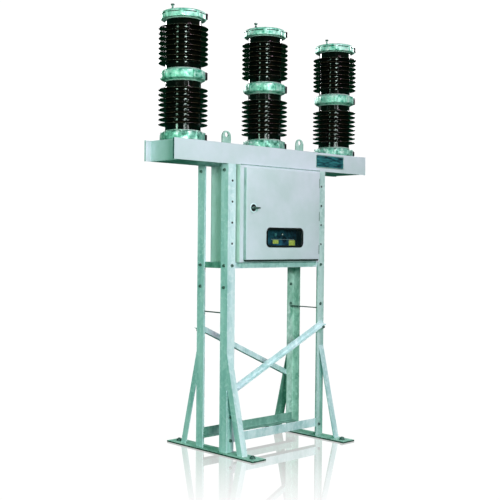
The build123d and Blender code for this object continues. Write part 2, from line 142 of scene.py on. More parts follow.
def add_node(
    tree: bpy.types.NodeTree,
    kind: str,
    sockets: dict[str | int, Any] | None = None,
    **settings: Any,
) -> bpy.types.Node:
    """Add a node with its settings, and fill its inputs with values or links.

    Args:
        tree: Node tree that gets the node.
        kind: Blender's name for the node type.
        sockets: Value, or output socket to link, for each input by name or number.
        **settings: Properties of the node.

    Returns:
        The new node.
    """
    node = tree.nodes.new(kind)
    for name, value in settings.items():
        setattr(node, name, value)
    fill(tree, node, sockets or {})
    return node


@dataclass(frozen=True)
class Pattern:
    """Pattern whose features have a real size, stretched along the axes."""

    size_mm: float
    detail: float = 3.0
    lumpiness: float = 0.5
    stretch: Triple = (1.0, 1.0, 1.0)
    texture: Texture = Texture.CLOUDS


@dataclass(frozen=True)
class Band:
    """Stretch of a pattern from low to high, and what its two ends turn into."""

    pattern: Pattern
    low: float = 0.0
    high: float = 1.0
    start: float = 0.0
    end: float = 1.0


@dataclass(frozen=True)
class Recipe:
    """Ground colour, coats over it, roughness, relief as strength and depth, and fixed levels."""

    ground: str
    coats: tuple[tuple[str, Band], ...]
    gloss: Band
    relief: tuple[Pattern, float, float] | None
    levels: dict[str, Any]


@dataclass(frozen=True)
class Finish:
    """A named surface finish that makes its material once."""

    name: str
    slot: str

    def recipe(self) -> Recipe:
        """Return what the finish is made of."""
        raise NotImplementedError

    def material(self) -> bpy.types.Material:
        """Make the material of this finish on first use.

        Returns:
            The one material of this finish.
        """
        made = bpy.data.materials.get(self.name)
        if made is None:
            made = bpy.data.materials.new(self.name)
            made.use_nodes = True
            made.node_tree.nodes.clear()
            self.paint(made.node_tree)
        return made

    def paint(self, tree: bpy.types.NodeTree) -> None:
        """Lay the coats over the ground, and let the patterns drive roughness and relief.

        Args:
            tree: Empty node tree of the material.
        """
        recipe = self.recipe()
        shader = add_node(tree, "ShaderNodeBsdfPrincipled", recipe.levels)
        add_node(tree, "ShaderNodeOutputMaterial", {"Surface": shader.outputs["BSDF"]})
        place = add_node(tree, "ShaderNodeTexCoord").outputs["Object"]
        bands = [*(band for _, band in recipe.coats), recipe.gloss]
        patterns = [band.pattern for band in bands] + [*(recipe.relief or ())][:1]
        drawn: dict[Pattern, bpy.types.NodeSocket] = {}
        for pattern in dict.fromkeys(patterns):
            spot = add_node(tree, "ShaderNodeMapping", {"Vector": place, "Scale": pattern.stretch})
            inputs = {"Vector": spot.outputs[0], "Scale": 1.0 / (pattern.size_mm * MM)}
            if pattern.texture is Texture.CLOUDS:
                inputs |= {"Detail": pattern.detail, "Roughness": pattern.lumpiness}
                drawn[pattern] = add_node(tree, "ShaderNodeTexNoise", inputs).outputs[0]
            else:
                cells = add_node(tree, "ShaderNodeTexVoronoi", inputs).outputs["Color"]
                draws = add_node(tree, "ShaderNodeSeparateColor", {"Color": cells})
                drawn[pattern] = draws.outputs[pattern.texture.value]
        shares = [
            add_node(
                tree,
                "ShaderNodeMapRange",
                {
                    "Value": drawn[band.pattern],
                    "From Min": band.low,
                    "From Max": band.high,
                    "To Min": band.start,
                    "To Max": band.end,
                },
            ).outputs[0]
            for band in bands
        ]
        colour: Any = linear_colour(recipe.ground)
        for (shade, _), share in zip(recipe.coats, shares):
            inputs = {0: share, 6: colour, 7: linear_colour(shade)}
            colour = add_node(tree, "ShaderNodeMix", inputs, data_type="RGBA").outputs[2]
        fill(tree, shader, {"Base Color": colour, "Roughness": shares[-1]})
        if recipe.relief:
            pattern, strength, depth = recipe.relief
            inputs = {"Height": drawn[pattern], "Strength": strength, "Distance": depth * MM}
            bump = add_node(tree, "ShaderNodeBump", inputs)
            fill(tree, shader, {"Normal": bump.outputs[0]})


@dataclass(frozen=True)
class HotDipZinc(Finish):
    """Structural steel dipped in molten zinc and weathered outdoors.

    Zinc freezes in flat crystals, the spangle, and then grows a matt blue-green patina that runs
    down with the rain. Real spangle is 5 to 10 mm; it is drawn at 22 mm so that it shows.
    """

    name: str = "hot_dip_galvanised_steel"
    slot: str = "galvanised_steel"
    bright: str = "#E1F2F9"
    dull: str = "#A9CED1"
    crystal: str = "#EFF9FF"
    metal: float = 0.05
    spangle_mm: float = 22.0
    patina_mm: float = 90.0
    run_stretch: float = 0.18

    def recipe(self) -> Recipe:
        """Mix spangle and patina into colour, roughness and a shallow relief.

        Returns:
            The recipe.
        """
        patina = Pattern(self.patina_mm, 5.0, 0.62, (1.0, 1.0, self.run_stretch))
        tone = Pattern(self.spangle_mm, texture=Texture.CRYSTAL_TONE)
        sheen = Pattern(self.spangle_mm, texture=Texture.CRYSTAL_SHEEN)
        return Recipe(
            ground=self.bright,
            coats=(
                (self.dull, Band(patina, 0.36, 0.66)),
                (self.crystal, Band(tone, 0.55, 1.0, 0.0, 0.55)),
            ),
            gloss=Band(sheen, 0.0, 1.0, 0.42, 0.6),
            relief=(patina, 0.35, 0.8),
            levels={"Metallic": self.metal},
        )


@dataclass(frozen=True)
class StovedEnamel(Finish):
    """Sheet steel sprayed with pale grey enamel and stoved.

    Spraying leaves a faint orange peel and a soft gloss; dust settles in broad pale clouds. Real
    orange peel is 2 mm; it is drawn at 9 mm so that it shows.
    """

    name: str = "stoved_grey_enamel"
    slot: str = "grey_enamel"
    clean: str = "#D9DFEA"
    dusty: str = "#C9D6DB"
    peel_mm: float = 9.0
    dust_mm: float = 320.0

    def recipe(self) -> Recipe:
        """Mix clean and dusty enamel, with orange peel as relief.

        Returns:
            The recipe.
        """
        dust = Pattern(self.dust_mm, 4.0, 0.55)
        return Recipe(
            ground=self.clean,
            coats=((self.dusty, Band(dust, 0.38, 0.64)),),
            gloss=Band(dust, 0.35, 0.65, 0.3, 0.42),
            relief=(Pattern(self.peel_mm, 1.0), 0.12, 0.3),
            levels={"Coat Weight": 0.15, "Coat Roughness": 0.2},
        )


@dataclass(frozen=True)
class BrownGlaze(Finish):
    """Fired porcelain under a dark brown glaze.

    The glaze runs and pools as it melts, so it is glassy, nearly black, and waves a little; it
    shows warmer brown where it is thin. The waves are the real 14 mm.
    """

    name: str = "brown_glazed_porcelain"
    slot: str = "brown_porcelain"
    pooled: str = "#050303"
    thin: str = "#150C08"
    wave_mm: float = 14.0
    pool_mm: float = 45.0

    def recipe(self) -> Recipe:
        """Mix pooled and thin glaze, with its waves as relief.

        Returns:
            The recipe.
        """
        wave = Pattern(self.wave_mm, 1.0)
        return Recipe(
            ground=self.pooled,
            coats=((self.thin, Band(Pattern(self.pool_mm), 0.45, 0.75)),),
            gloss=Band(wave, 0.0, 1.0, 0.07, 0.16),
            relief=(wave, 0.2, 0.5),
            levels={"IOR": 1.5},
        )


@dataclass(frozen=True)
class SandCastAluminium(Finish):
    """Aluminium alloy cast in sand and shot-blasted.

    The mould leaves a pebbled skin, and the blasting leaves bright and dull patches side by side
    in a blue-green oxide; the near-white patches are painted highlights as well. Real sand grain
    is under 1 mm; it is drawn at 9 mm so that it shows.
    """

    name: str = "sand_cast_aluminium"
    slot: str = "cast_aluminium"
    oxide: str = "#1F6854"
    skin: str = "#7EBEAC"
    # Near-white patches: blasted metal, and painted highlights as well.
    blasted: str = "#EEF8F6"
    metal: float = 0.25
    grain_mm: float = 9.0
    patch_mm: float = 42.0

    def recipe(self) -> Recipe:
        """Mix oxide, skin and blasted patches, with pebbled relief.

        Returns:
            The recipe.
        """
        patch = Pattern(self.patch_mm, 4.0, 0.6)
        return Recipe(
            ground=self.oxide,
            coats=((self.skin, Band(patch, 0.36, 0.5)), (self.blasted, Band(patch, 0.54, 0.68))),
            gloss=Band(patch, 0.35, 0.65, 0.55, 0.38),
            relief=(Pattern(self.grain_mm, 2.0), 0.45, 0.9),
            levels={"Metallic": self.metal},
        )


@dataclass(frozen=True)
class GrainedFinish(Finish):
    """A finish of two near shades in a fine grain, for the small parts."""

    light: str
    dark: str
    grain_mm: float
    smooth: float
    rough: float
    relief_mm: float = 0.2
    metal: float = 0.0
    glow: float = 0.0
    stretch: Triple = (1.0, 1.0, 1.0)

    def recipe(self) -> Recipe:
        """Drive colour, roughness and relief from one grain.

        Returns:
            The recipe.
        """
        grain = Pattern(self.grain_mm, stretch=self.stretch)
        glow = {"Emission Color": linear_colour(self.light), "Emission Strength": self.glow}
        return Recipe(
            ground=self.light,
            coats=((self.dark, Band(grain, 0.35, 0.65)),),
            gloss=Band(grain, 0.35, 0.65, self.smooth, self.rough),
            relief=(grain, 0.3, self.relief_mm),
            levels={"Metallic": self.metal, **glow},
        )


@dataclass(frozen=True)
class WindowGlass(Finish):
    """Float glass, faintly green, with a film of dust that breaks up its clear view."""

    name: str = "float_glass"
    slot: str = "clear_glass"
    tint: str = "#1B2E35"
    film_mm: float = 60.0
    body: float = 0.12

    def recipe(self) -> Recipe:
        """Make a thin clear pane whose roughness follows a film of dust.

        Returns:
            The recipe.
        """
        return Recipe(
            ground=self.tint,
            coats=(),
            gloss=Band(Pattern(self.film_mm), 0.4, 0.7, 0.02, 0.09),
            relief=None,
            levels={"Alpha": self.body, "IOR": 1.5},
        )


ZINC = HotDipZinc()
PLATE_ZINC = HotDipZinc(
    # Plates lie on wet ground, so their zinc is greener, duller and blotched.
    "weathered_galvanised_plate", "galvanised_plate", "#8FC3B1", "#5D9A86", "#A5D0C1",
    patina_mm=60.0, run_stretch=1.0,
)
LUG_ZINC = HotDipZinc(
    # Small parts cool fast in the dip, so their zinc stays thin, even and light.
    "thin_galvanised_lug", bright="#B4D8CB", dull="#7AAA9A", crystal="#C9E4DA",
)
SHADED_ZINC = HotDipZinc(
    # Darker, matt zinc with hardly a crystal to see: painted shade for the members that stand in
    # shadow.
    "dull_galvanised_steel", bright="#86B3A6", dull="#4F8577", crystal="#93BCB1", metal=0.1,
)
BLOTCHED_ZINC = HotDipZinc(
    # A leg that stood in wet grass in the yard: dark wet-storage stain between clean patches.
    "stained_galvanised_steel", bright="#CFE6DF", dull="#7DB0A0", crystal="#D9ECE7",
    patina_mm=80.0, run_stretch=0.45,
)
AGED_ZINC = HotDipZinc(
    # A leg from an older batch: the patina has closed over most of the crystals.
    "aged_galvanised_steel", bright="#CDE3E2", dull="#94BCB6", crystal="#D8ECEB",
)
ENAMEL = StovedEnamel()
SIDE_SHADE_ENAMEL = StovedEnamel(
    # Greener, slightly darker enamel on the faces that turn sideways: painted shade.
    "stoved_enamel_algae_film", clean="#DDE8E5", dusty="#C8D9D1", dust_mm=180.0,
)
SHADED_EDGE_ENAMEL = StovedEnamel(
    # Darker enamel on the folded sides of the door: painted shade on the returns that turn from the
    # light.
    "stoved_enamel_handled_edge", clean="#AEBFC2", dusty="#93A9A8", dust_mm=120.0,
)
GLAZE = BrownGlaze()
CASTING = SandCastAluminium()
LIGHTER_CASTING = SandCastAluminium(
    # A lighter copy of the casting finish, for the joint castings and their terminal blocks.
    "sand_cast_aluminium_sheltered", oxide="#3C9A81", skin="#9CDCC8",
)
PALEST_CASTING = SandCastAluminium(
    # The palest copy of the casting finish, for the caps.
    "sand_cast_aluminium_rinsed", oxide="#4FB095", skin="#B2EBDA",
)
GLASS = WindowGlass()
BOLT_ZINC = GrainedFinish(
    # Rolled bolts plated with thin zinc: smoother than the dipped steel round them, and tarnished.
    "zinc_plated_bolt", "galvanised_steel", "#86A39B", "#3F564F",
    grain_mm=6.0, smooth=0.28, rough=0.42, metal=0.6,
)
GLAZE_RIM_REFLECTION = GrainedFinish(
    # The same glaze on the edge of a shed, paler: partly glaze run thin over the clay, partly a
    # painted reflection of the pale floor.
    "thin_glaze_on_rim", "brown_porcelain", "#3A3023", "#17110C",
    grain_mm=30.0, smooth=0.12, rough=0.25,
)
WELD = GrainedFinish(
    # A weld laid in short ripples, dipped with the rest, so duller than the rolled steel.
    "galvanised_weld", "galvanised_steel", "#B5D2CA", "#86AAA0",
    grain_mm=5.0, smooth=0.45, rough=0.65, relief_mm=0.6, metal=0.35,
)
DARK_PLATE_EDGE = GrainedFinish(
    # Upright edge faces of the base plates: dark, rough and matt.
    "sheared_plate_edge", "galvanised_plate", "#4E7467", "#20392F",
    grain_mm=14.0, smooth=0.5, rough=0.75, relief_mm=0.5, metal=0.2,
)
TIE_STEEL = GrainedFinish(
    # Flat bar rolled hot and left under its mill scale: grey, nearly black, and matt.
    "mill_scale_bar", "galvanised_steel", "#5F7F78", "#34504A",
    grain_mm=12.0, smooth=0.45, rough=0.65, metal=0.3,
)
BLACK_MOULDING = GrainedFinish(
    # Glass-filled nylon moulded in a spark-eroded tool: near black with a fine satin grain.
    "moulded_black_nylon", "black_plastic", "#15191B", "#0B0D0F",
    grain_mm=2.5, smooth=0.34, rough=0.5, relief_mm=0.15,
)
SEAL_RUBBER = GrainedFinish(
    # Extruded weather rubber: matt, with a greyish bloom.
    "extruded_seal_rubber", "black_plastic", "#1B1E1E", "#101212",
    grain_mm=8.0, smooth=0.7, rough=0.85,
)
HEM_SHADE_PAINT = GrainedFinish(
    # Dark blue-green strips on the end hems of the beam's front wall: painted shade where the hems
    # turn from the light.
    "painted_shade_on_hem", "grey_enamel", "#3F6B68", "#274B49",
    grain_mm=20.0, smooth=0.6, rough=0.8,
)
HOUSING_PAINT = GrainedFinish(
    # Machine enamel on the box of the spring mechanism: blue-black, dulled by a film of oil.
    "oiled_machine_enamel", "grey_enamel", "#17222B", "#0A0F14",
    grain_mm=30.0, smooth=0.3, rough=0.5,
)
MASTIC_SHADOW_PAINT = GrainedFinish(
    # Mastic bead in the joint under the beam, darker than the enamel: a painted shadow line under
    # the beam's edge.
    "mastic_painted_shadow", "grey_enamel", "#93AEAE", "#6C8B89",
    grain_mm=25.0, smooth=0.45, rough=0.65,
)
DIAL_PAINT = GrainedFinish(
    # Blue-black paint on the panel behind the window, clouded by grease from the mechanism.
    "blue_black_panel_paint", "dark_panel", "#357A92", "#050F26",
    grain_mm=60.0, smooth=0.3, rough=0.5,
)
DIAL_FACE = GrainedFinish(
    # Eggshell paint on the face of the position dial: paler than the panel, and chalky.
    "pale_dial_paint", "dark_panel", "#7FC0C6", "#4A8F9C",
    grain_mm=10.0, smooth=0.4, rough=0.6,
)
PANEL_LINE = GrainedFinish(
    # Thin pale tape across the panel, under the dial and lamp.
    "pale_panel_tape", "dark_panel", "#C9DAD9", "#9FBBBA",
    grain_mm=12.0, smooth=0.4, rough=0.55,
)
PLATE_PAINT = GrainedFinish(
    # Anodised aluminium plate dyed dark teal, with the streaks of the brushed metal under the dye.
    "teal_anodised_plate", "nameplate_face", "#3F8F96", "#082233",
    grain_mm=26.0, smooth=0.3, rough=0.45, metal=0.2, stretch=(0.3, 1.0, 1.6),
)
PLATE_RIM = GrainedFinish(
    # The same plate where its rim is left undyed.
    "bare_anodised_rim", "nameplate_face", "#D5E5E4", "#AECBC8",
    grain_mm=10.0, smooth=0.3, rough=0.4, metal=0.5,
)
LABEL_VINYL = GrainedFinish(
    # Vinyl film, yellow-green and bare, faded unevenly behind the glass.
    "yellow_green_vinyl", "dark_panel", "#DDF07A", "#B9D84A",
    grain_mm=16.0, smooth=0.4, rough=0.55,
)
LAMP_LENS = GrainedFinish(
    # Opal acrylic of the position lamp: milky, with a polished face, and dimly lit from inside.
    "opal_acrylic_lens", "dark_panel", "#E4EFEF", "#BFD3D6",
    grain_mm=9.0, smooth=0.12, rough=0.2, glow=0.25,
)
JOINT_CEMENT = GrainedFinish(
    # Portland cement that bonds porcelain to casting, painted over: pale, matt and gritty.
    "painted_joint_cement", "cast_aluminium", "#C9DDD6", "#93B5AA",
    grain_mm=7.0, smooth=0.6, rough=0.8, relief_mm=0.6,
)


# ---------------------------------------------------------------- bench tools


def metres(*lengths: float) -> Vector:
    """Return a vector in metres from lengths in millimetres."""
    return Vector(lengths) * MM


def along(axis: Vector) -> Test:
    """Return a test that accepts edges along an axis."""
    return lambda middle, way: abs(way.dot(axis)) > ALIGNED


def towards(way: Vector) -> Test:
    """Return a test that accepts faces that look a way."""
    return lambda centre, normal: normal.dot(way) > ALIGNED


def anywhere(place: Vector, way: Vector) -> bool:
    """Accept every edge or face."""
    return True


def hold(piece: Piece) -> None:
    """Make a piece the only selected and the active object.

    Args:
        piece: Object to hold.
    """
    bpy.ops.object.select_all(action="DESELECT")
    piece.select_set(True)
    bpy.context.view_layer.objects.active = piece


@contextmanager
def editing(piece: Piece, everything: bool = False) -> Iterator[None]:
    """Hold a piece in edit mode, with its selection as it is.

    Args:
        piece: Mesh object to edit.
        everything: Select the whole mesh first.

    Yields:
        Nothing, while the piece is in edit mode.
    """
    hold(piece)
    bpy.ops.object.mode_set(mode="EDIT")
    if everything:
        bpy.ops.mesh.select_all(action="SELECT")
    yield
    bpy.ops.object.mode_set(mode="OBJECT")


def pick(piece: Piece, edges: Test | None = None, faces: Test | None = None) -> None:
    """Select the edges or the faces that a test accepts, and nothing else.

    Args:
        piece: Mesh object in object mode.
        edges: Takes an edge's middle in millimetres and its direction.
        faces: Takes a face's centre in millimetres and its normal.
    """
    mesh = piece.data
    bpy.context.tool_settings.mesh_select_mode = (False, edges is not None, faces is not None)
    for group in (mesh.vertices, mesh.edges, mesh.polygons):
        group.foreach_set("select", [False] * len(group))
    for edge in mesh.edges if edges else ():
        start, end = (mesh.vertices[index].co for index in edge.vertices)
        edge.select = edges((start + end) / (2 * MM), (end - start).normalized())
    for face in mesh.polygons if faces else ():
        face.select = faces(face.center / MM, face.normal)


def softened(
    piece: Piece,
    radius: float,
    segments: int,
    edges: Test | None = None,
    faces: Test | None = None,
) -> Piece:
    """Round the edges that a test accepts, or the outline of the faces that one accepts.

    Args:
        piece: Mesh object to round.
        radius: Width of the rounding in millimetres.
        segments: Number of flats in the rounding.
        edges: Test for edges.
        faces: Test for faces.

    Returns:
        The same piece.
    """
    pick(piece, edges, faces)
    with editing(piece):
        bpy.ops.mesh.bevel(offset=radius * MM, segments=segments, affect="EDGES")
    return piece


def sunk(piece: Piece, faces: Test, *steps: tuple[float, float]) -> Piece:
    """Inset the faces that a test accepts, step by step.

    Args:
        piece: Mesh object to work.
        faces: Test for faces.
        *steps: How far in from the outline and how far out of the face, in millimetres.

    Returns:
        The same piece.
    """
    pick(piece, faces=faces)
    with editing(piece):
        for inwards, outwards in steps:
            bpy.ops.mesh.inset(thickness=inwards * MM, depth=outwards * MM)
    return piece


def settled(name: str) -> Piece:
    """Name the active object and put its place, turn and size into its mesh.

    Args:
        name: Name of the object and its mesh.

    Returns:
        The object.
    """
    piece = bpy.context.active_object
    piece.name = piece.data.name = name
    bpy.ops.object.transform_apply(location=True, rotation=True, scale=True)
    return piece


def slab(name: str, low: Vector, high: Vector) -> Piece:
    """Start a piece from a block.

    Args:
        name: Name of the new object.
        low: Lowest corner, in metres.
        high: Highest corner, in metres.

    Returns:
        The new object.
    """
    bpy.ops.object.select_all(action="DESELECT")
    bpy.ops.mesh.primitive_cube_add(size=1, location=(low + high) / 2, scale=high - low)
    return settled(name)


def rod(
    name: str, centre: Vector, radius: float, length: float, axis: Vector = UP, sides: int = 32
) -> Piece:
    """Start a piece from a round bar.

    Args:
        name: Name of the new object.
        centre: Middle of the bar, in metres.
        radius: Radius in millimetres, across the corners.
        length: Length in millimetres.
        axis: Direction of the bar.
        sides: Number of sides.

    Returns:
        The new object.
    """
    bpy.ops.object.select_all(action="DESELECT")
    bpy.ops.mesh.primitive_cylinder_add(
        vertices=sides,
        radius=radius * MM,
        depth=length * MM,
        location=centre,
        rotation=axis.to_track_quat("Z", "Y").to_euler(),
    )
    return settled(name)


def turned(name: str, outline: Outline, steps: int, centre: Vector = ORIGIN) -> Piece:
    """Turn a closed outline about an upright axis.

    Args:
        name: Name of the new object.
        outline: Corners as radius and height in millimetres; the last joins the first.
        steps: Number of steps round the axis.
        centre: Foot of the axis, in metres.

    Returns:
        The new solid.
    """
    bpy.ops.object.select_all(action="DESELECT")
    bpy.ops.mesh.primitive_plane_add(size=MM)
    piece = settled(name)
    bpy.context.tool_settings.mesh_select_mode = (True, False, False)
    with editing(piece, everything=True):
        bpy.ops.mesh.merge(type="CENTER")
        bpy.ops.transform.translate(value=metres(outline[0][0], 0, outline[0][1]))
        for here, there in zip(outline, [*outline[1:], outline[0]]):
            step = metres(there[0] - here[0], 0, there[1] - here[1])
            bpy.ops.mesh.extrude_vertices_move(TRANSFORM_OT_translate={"value": step})
        bpy.ops.mesh.select_all(action="SELECT")
        bpy.ops.mesh.spin(steps=steps, angle=math.tau, center=(0, 0, 0), axis=(0, 0, 1))
        bpy.ops.mesh.select_all(action="SELECT")
        bpy.ops.mesh.remove_doubles(threshold=TURNED_MERGE * MM)
        bpy.ops.mesh.normals_make_consistent(inside=False)
        bpy.ops.transform.translate(value=centre)
    return piece


def worked(piece: Piece, kind: str, **settings: Any) -> Piece:
    """Add a modifier to a piece and apply it.

    Args:
        piece: Mesh object to work.
        kind: Blender's name for the modifier type.
        **settings: Properties of the modifier.

    Returns:
        The same piece.
    """
    hold(piece)
    modifier = piece.modifiers.new(kind.title(), kind)
    for name, value in settings.items():
        setattr(modifier, name, value)
    bpy.ops.object.modifier_apply(modifier=modifier.name)
    return piece


def worn(piece: Piece, width: float, segments: int, degrees: float, **settings: Any) -> Piece:
    """Bevel every edge of a piece that is sharper than an angle.

    Args:
        piece: Mesh object to work.
        width: Width of the bevel in millimetres.
        segments: Number of flats in the bevel.
        degrees: Angle between faces above which an edge is sharp.
        **settings: Other properties of the bevel.

    Returns:
        The same piece.
    """
    settings |= {"limit_method": "ANGLE", "angle_limit": math.radians(degrees)}
    return worked(piece, "BEVEL", width=width * MM, segments=segments, **settings)


def cut_away(piece: Piece, *tools: Piece) -> Piece:
    """Cut a piece with other pieces.

    Args:
        piece: Mesh object to cut.
        *tools: Objects that are cut out of it, and used up.

    Returns:
        The same piece.
    """
    for tool in tools:
        worked(piece, "BOOLEAN", operation="DIFFERENCE", solver="EXACT", object=tool)
        bpy.data.objects.remove(tool)
    return piece


def joined(name: str, pieces: Sequence[Piece]) -> Piece:
    """Join pieces into one object.

    Args:
        name: Name of the joined object.
        pieces: Objects to join, the one that keeps the rest first.

    Returns:
        The joined object.
    """
    hold(pieces[0])
    for piece in pieces:
        piece.select_set(True)
    if len(pieces) > 1:
        bpy.ops.object.join()
    pieces[0].name = pieces[0].data.name = name
    return pieces[0]


def twin(piece: Piece, name: str, move: Matrix) -> Piece:
    """Copy a piece with its own mesh, moved.

    Args:
        piece: Piece to copy.
        name: Name of the copy.
        move: Turn and shift, in metres.

    Returns:
        The copy.
    """
    copy = piece.copy()
    copy.data = piece.data.copy()
    copy.data.transform(move)
    copy.name = copy.data.name = name
    bpy.context.scene.collection.objects.link(copy)
    return copy


def copied(name: str, pattern: Piece, moves: Sequence[Matrix]) -> Piece:
    """Copy a pattern to each place, join the copies and put the pattern away.

    Args:
        name: Name of the joined piece.
        pattern: Piece modelled at the origin.
        moves: Turn and shift of each copy, in metres.

    Returns:
        One object that holds all the copies.
    """
    copies = [twin(pattern, f"{name}_copy", move) for move in moves]
    bpy.data.objects.remove(pattern)
    return joined(name, copies)


def facing(place: Vector, direction: Vector) -> Matrix:
    """Return the move of an upright piece at the origin to a place, pointing a way."""
    return Matrix.Translation(place) @ direction.to_track_quat("Z", "Y").to_matrix().to_4x4()


def smooth(piece: Piece, degrees: float = 38.0) -> Piece:
    """Shade a piece smooth, with its sharp edges left crisp.

    Args:
        piece: Mesh object to shade.
        degrees: Angle between faces above which an edge is sharp.

    Returns:
        The same piece.
    """
    hold(piece)
    bpy.ops.object.shade_smooth_by_angle(angle=math.radians(degrees))
    return piece


def dress(piece: Piece, finish: Finish) -> Piece:
    """Give a whole piece one finish.

    Args:
        piece: Mesh object.
        finish: Finish for every slot that it has, or for a first one.

    Returns:
        The same piece.
    """
    slots = piece.data.materials
    if not slots:
        slots.append(None)
    for index in range(len(slots)):
        slots[index] = finish.material()
    return piece


def faced(piece: Piece, finish: Finish, faces: Test) -> Piece:
    """Give the faces that a test accepts a finish of their own.

    Args:
        piece: Mesh object that has its first finish.
        finish: Finish to add.
        faces: Test for faces.

    Returns:
        The same piece.
    """
    piece.data.materials.append(finish.material())
    for face in piece.data.polygons:
        if faces(face.center / MM, face.normal):
            face.material_index = len(piece.data.materials) - 1
    return piece


def fit(piece: Piece, finish: Finish, rider: Rider, *replaced: str) -> Piece:
    """Dress a finished piece and fix it to its body.

    Args:
        piece: Finished mesh object.
        finish: Its finish, if it has none yet.
        rider: Body that it moves with.
        *replaced: Nodes of the rigid model that it stands for.

    Returns:
        The same piece.
    """
    if not piece.data.materials:
        dress(piece, finish)
    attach(piece, rider.value)
    if replaced:
        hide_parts(*replaced)
    return piece


def eased(node: str, finish: Finish, edge: float) -> Piece:
    """Replace a node of the frame by its own shape with worn edges, as rolled steel has.

    Args:
        node: Node of the rigid model.
        finish: Finish of the piece.
        edge: Width of the worn edge, in millimetres.

    Returns:
        The new piece.
    """
    piece = twin(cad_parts[node], f"{node}_eased", Matrix.Identity(4))
    piece.parent = None
    for key in list(piece.keys()):
        del piece[key]
    piece.data.materials.clear()
    with editing(piece, everything=True):
        bpy.ops.mesh.remove_doubles(threshold=MODEL_MERGE * MM)
        bpy.ops.mesh.customdata_custom_splitnormals_clear()
        bpy.ops.mesh.dissolve_limited(angle_limit=math.radians(COPLANAR))
    bpy.ops.object.shade_smooth()
    worn(piece, edge, 2, ROLLED_CORNER, harden_normals=True)
    return fit(piece, finish, Rider.FRAME, node)


# ---------------------------------------------------------------- small hardware


@dataclass
class HexBolt:
    """Hexagon bolt head on a round washer, modelled once at the origin pointing up."""

    across_flats: float
    head: float
    washer_radius: float
    washer: float = 2.5
    shank_radius: float = 0.0
    shank: float = 0.0
    chamfer_share: float = 0.16
    crown_share: float = 0.08
    thread_chamfer_share: float = 0.15

    def model(self) -> Piece:
        """Model the first bolt: a hexagon with its corners turned off, a washer, a thread end.

        Returns:
            The bolt.
        """
        corner, top = self.across_flats / math.sqrt(3), self.washer + self.head
        middle = metres(0, 0, self.washer / 2)
        washer = rod("washer", middle, self.washer_radius, self.washer, sides=16)
        head = rod("bolt_head", metres(0, 0, top - self.head / 2), corner, self.head, sides=6)
        crown = self.chamfer_share * corner, self.crown_share * corner
        parts = [washer, sunk(head, towards(UP), crown)]
        if self.shank:
            middle = metres(0, 0, top + self.shank / 2)
            end = rod("thread_end", middle, self.shank_radius, self.shank, sides=12)
            chamfer = self.thread_chamfer_share * self.shank_radius
            parts.append(softened(end, chamfer, 1, faces=towards(UP)))
        return smooth(joined("bolt_pattern", parts), 30)

    def set_at(self, name: str, places: Sequence[tuple[Vector, Vector]]) -> Piece:
        """Copy the bolt to each place, given by its seat in metres and its outward direction."""
        return copied(name, self.model(), [facing(seat, way) for seat, way in places])


@dataclass
class WeldBead:
    """Fillet weld laid in ripples along a straight corner."""

    leg: float = 4.0
    ripple: float = 4.0
    fewest_rings: int = 4
    end_share: float = 0.6
    trough_share: float = 0.86

    def run(self, start: Vector, end: Vector) -> Piece:
        """Model one bead between two points.

        Args:
            start: One end of the corner, in metres.
            end: Other end of the corner, in metres.

        Returns:
            The bead.
        """
        length = (end - start).length / MM
        bead = rod("bead", ORIGIN, self.leg, length, sides=8)
        rings = max(self.fewest_rings, int(length / self.ripple))
        pick(bead, edges=along(UP))
        with editing(bead):
            bpy.ops.mesh.subdivide(number_cuts=rings)
        step = length / (rings + 1)
        for point in bead.data.vertices:
            ring = round((point.co.z / MM + length / 2) / step)
            if ring in (0, rings + 1):
                point.co.xy *= self.end_share
            elif ring % 2:
                point.co.xy *= self.trough_share
        bead.data.transform(facing((start + end) / 2, end - start))
        return smooth(bead, 80)


# ---------------------------------------------------------------- stand


@dataclass(frozen=True)
class Corner:
    """One corner of the stand."""

    side: Side
    face: Face

    def node(self, part: str) -> str:
        """Return the name of a part's node at this corner."""
        return f"{part}_{self.face.name.lower()}_{self.side.name.lower()}"

    def foot(self, part: str) -> tuple[Vector, Vector]:
        """Find the foot of a part at this corner.

        Args:
            part: What the names of such nodes start with.

        Returns:
            The outermost and the innermost point of its foot, in metres.
        """
        low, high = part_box(self.node(part))
        xs, ys = (low.x, high.x)[::-self.side.value], (low.y, high.y)[::-self.face.value]
        return Vector((xs[0], ys[0], low.z)), Vector((xs[1], ys[1], low.z))


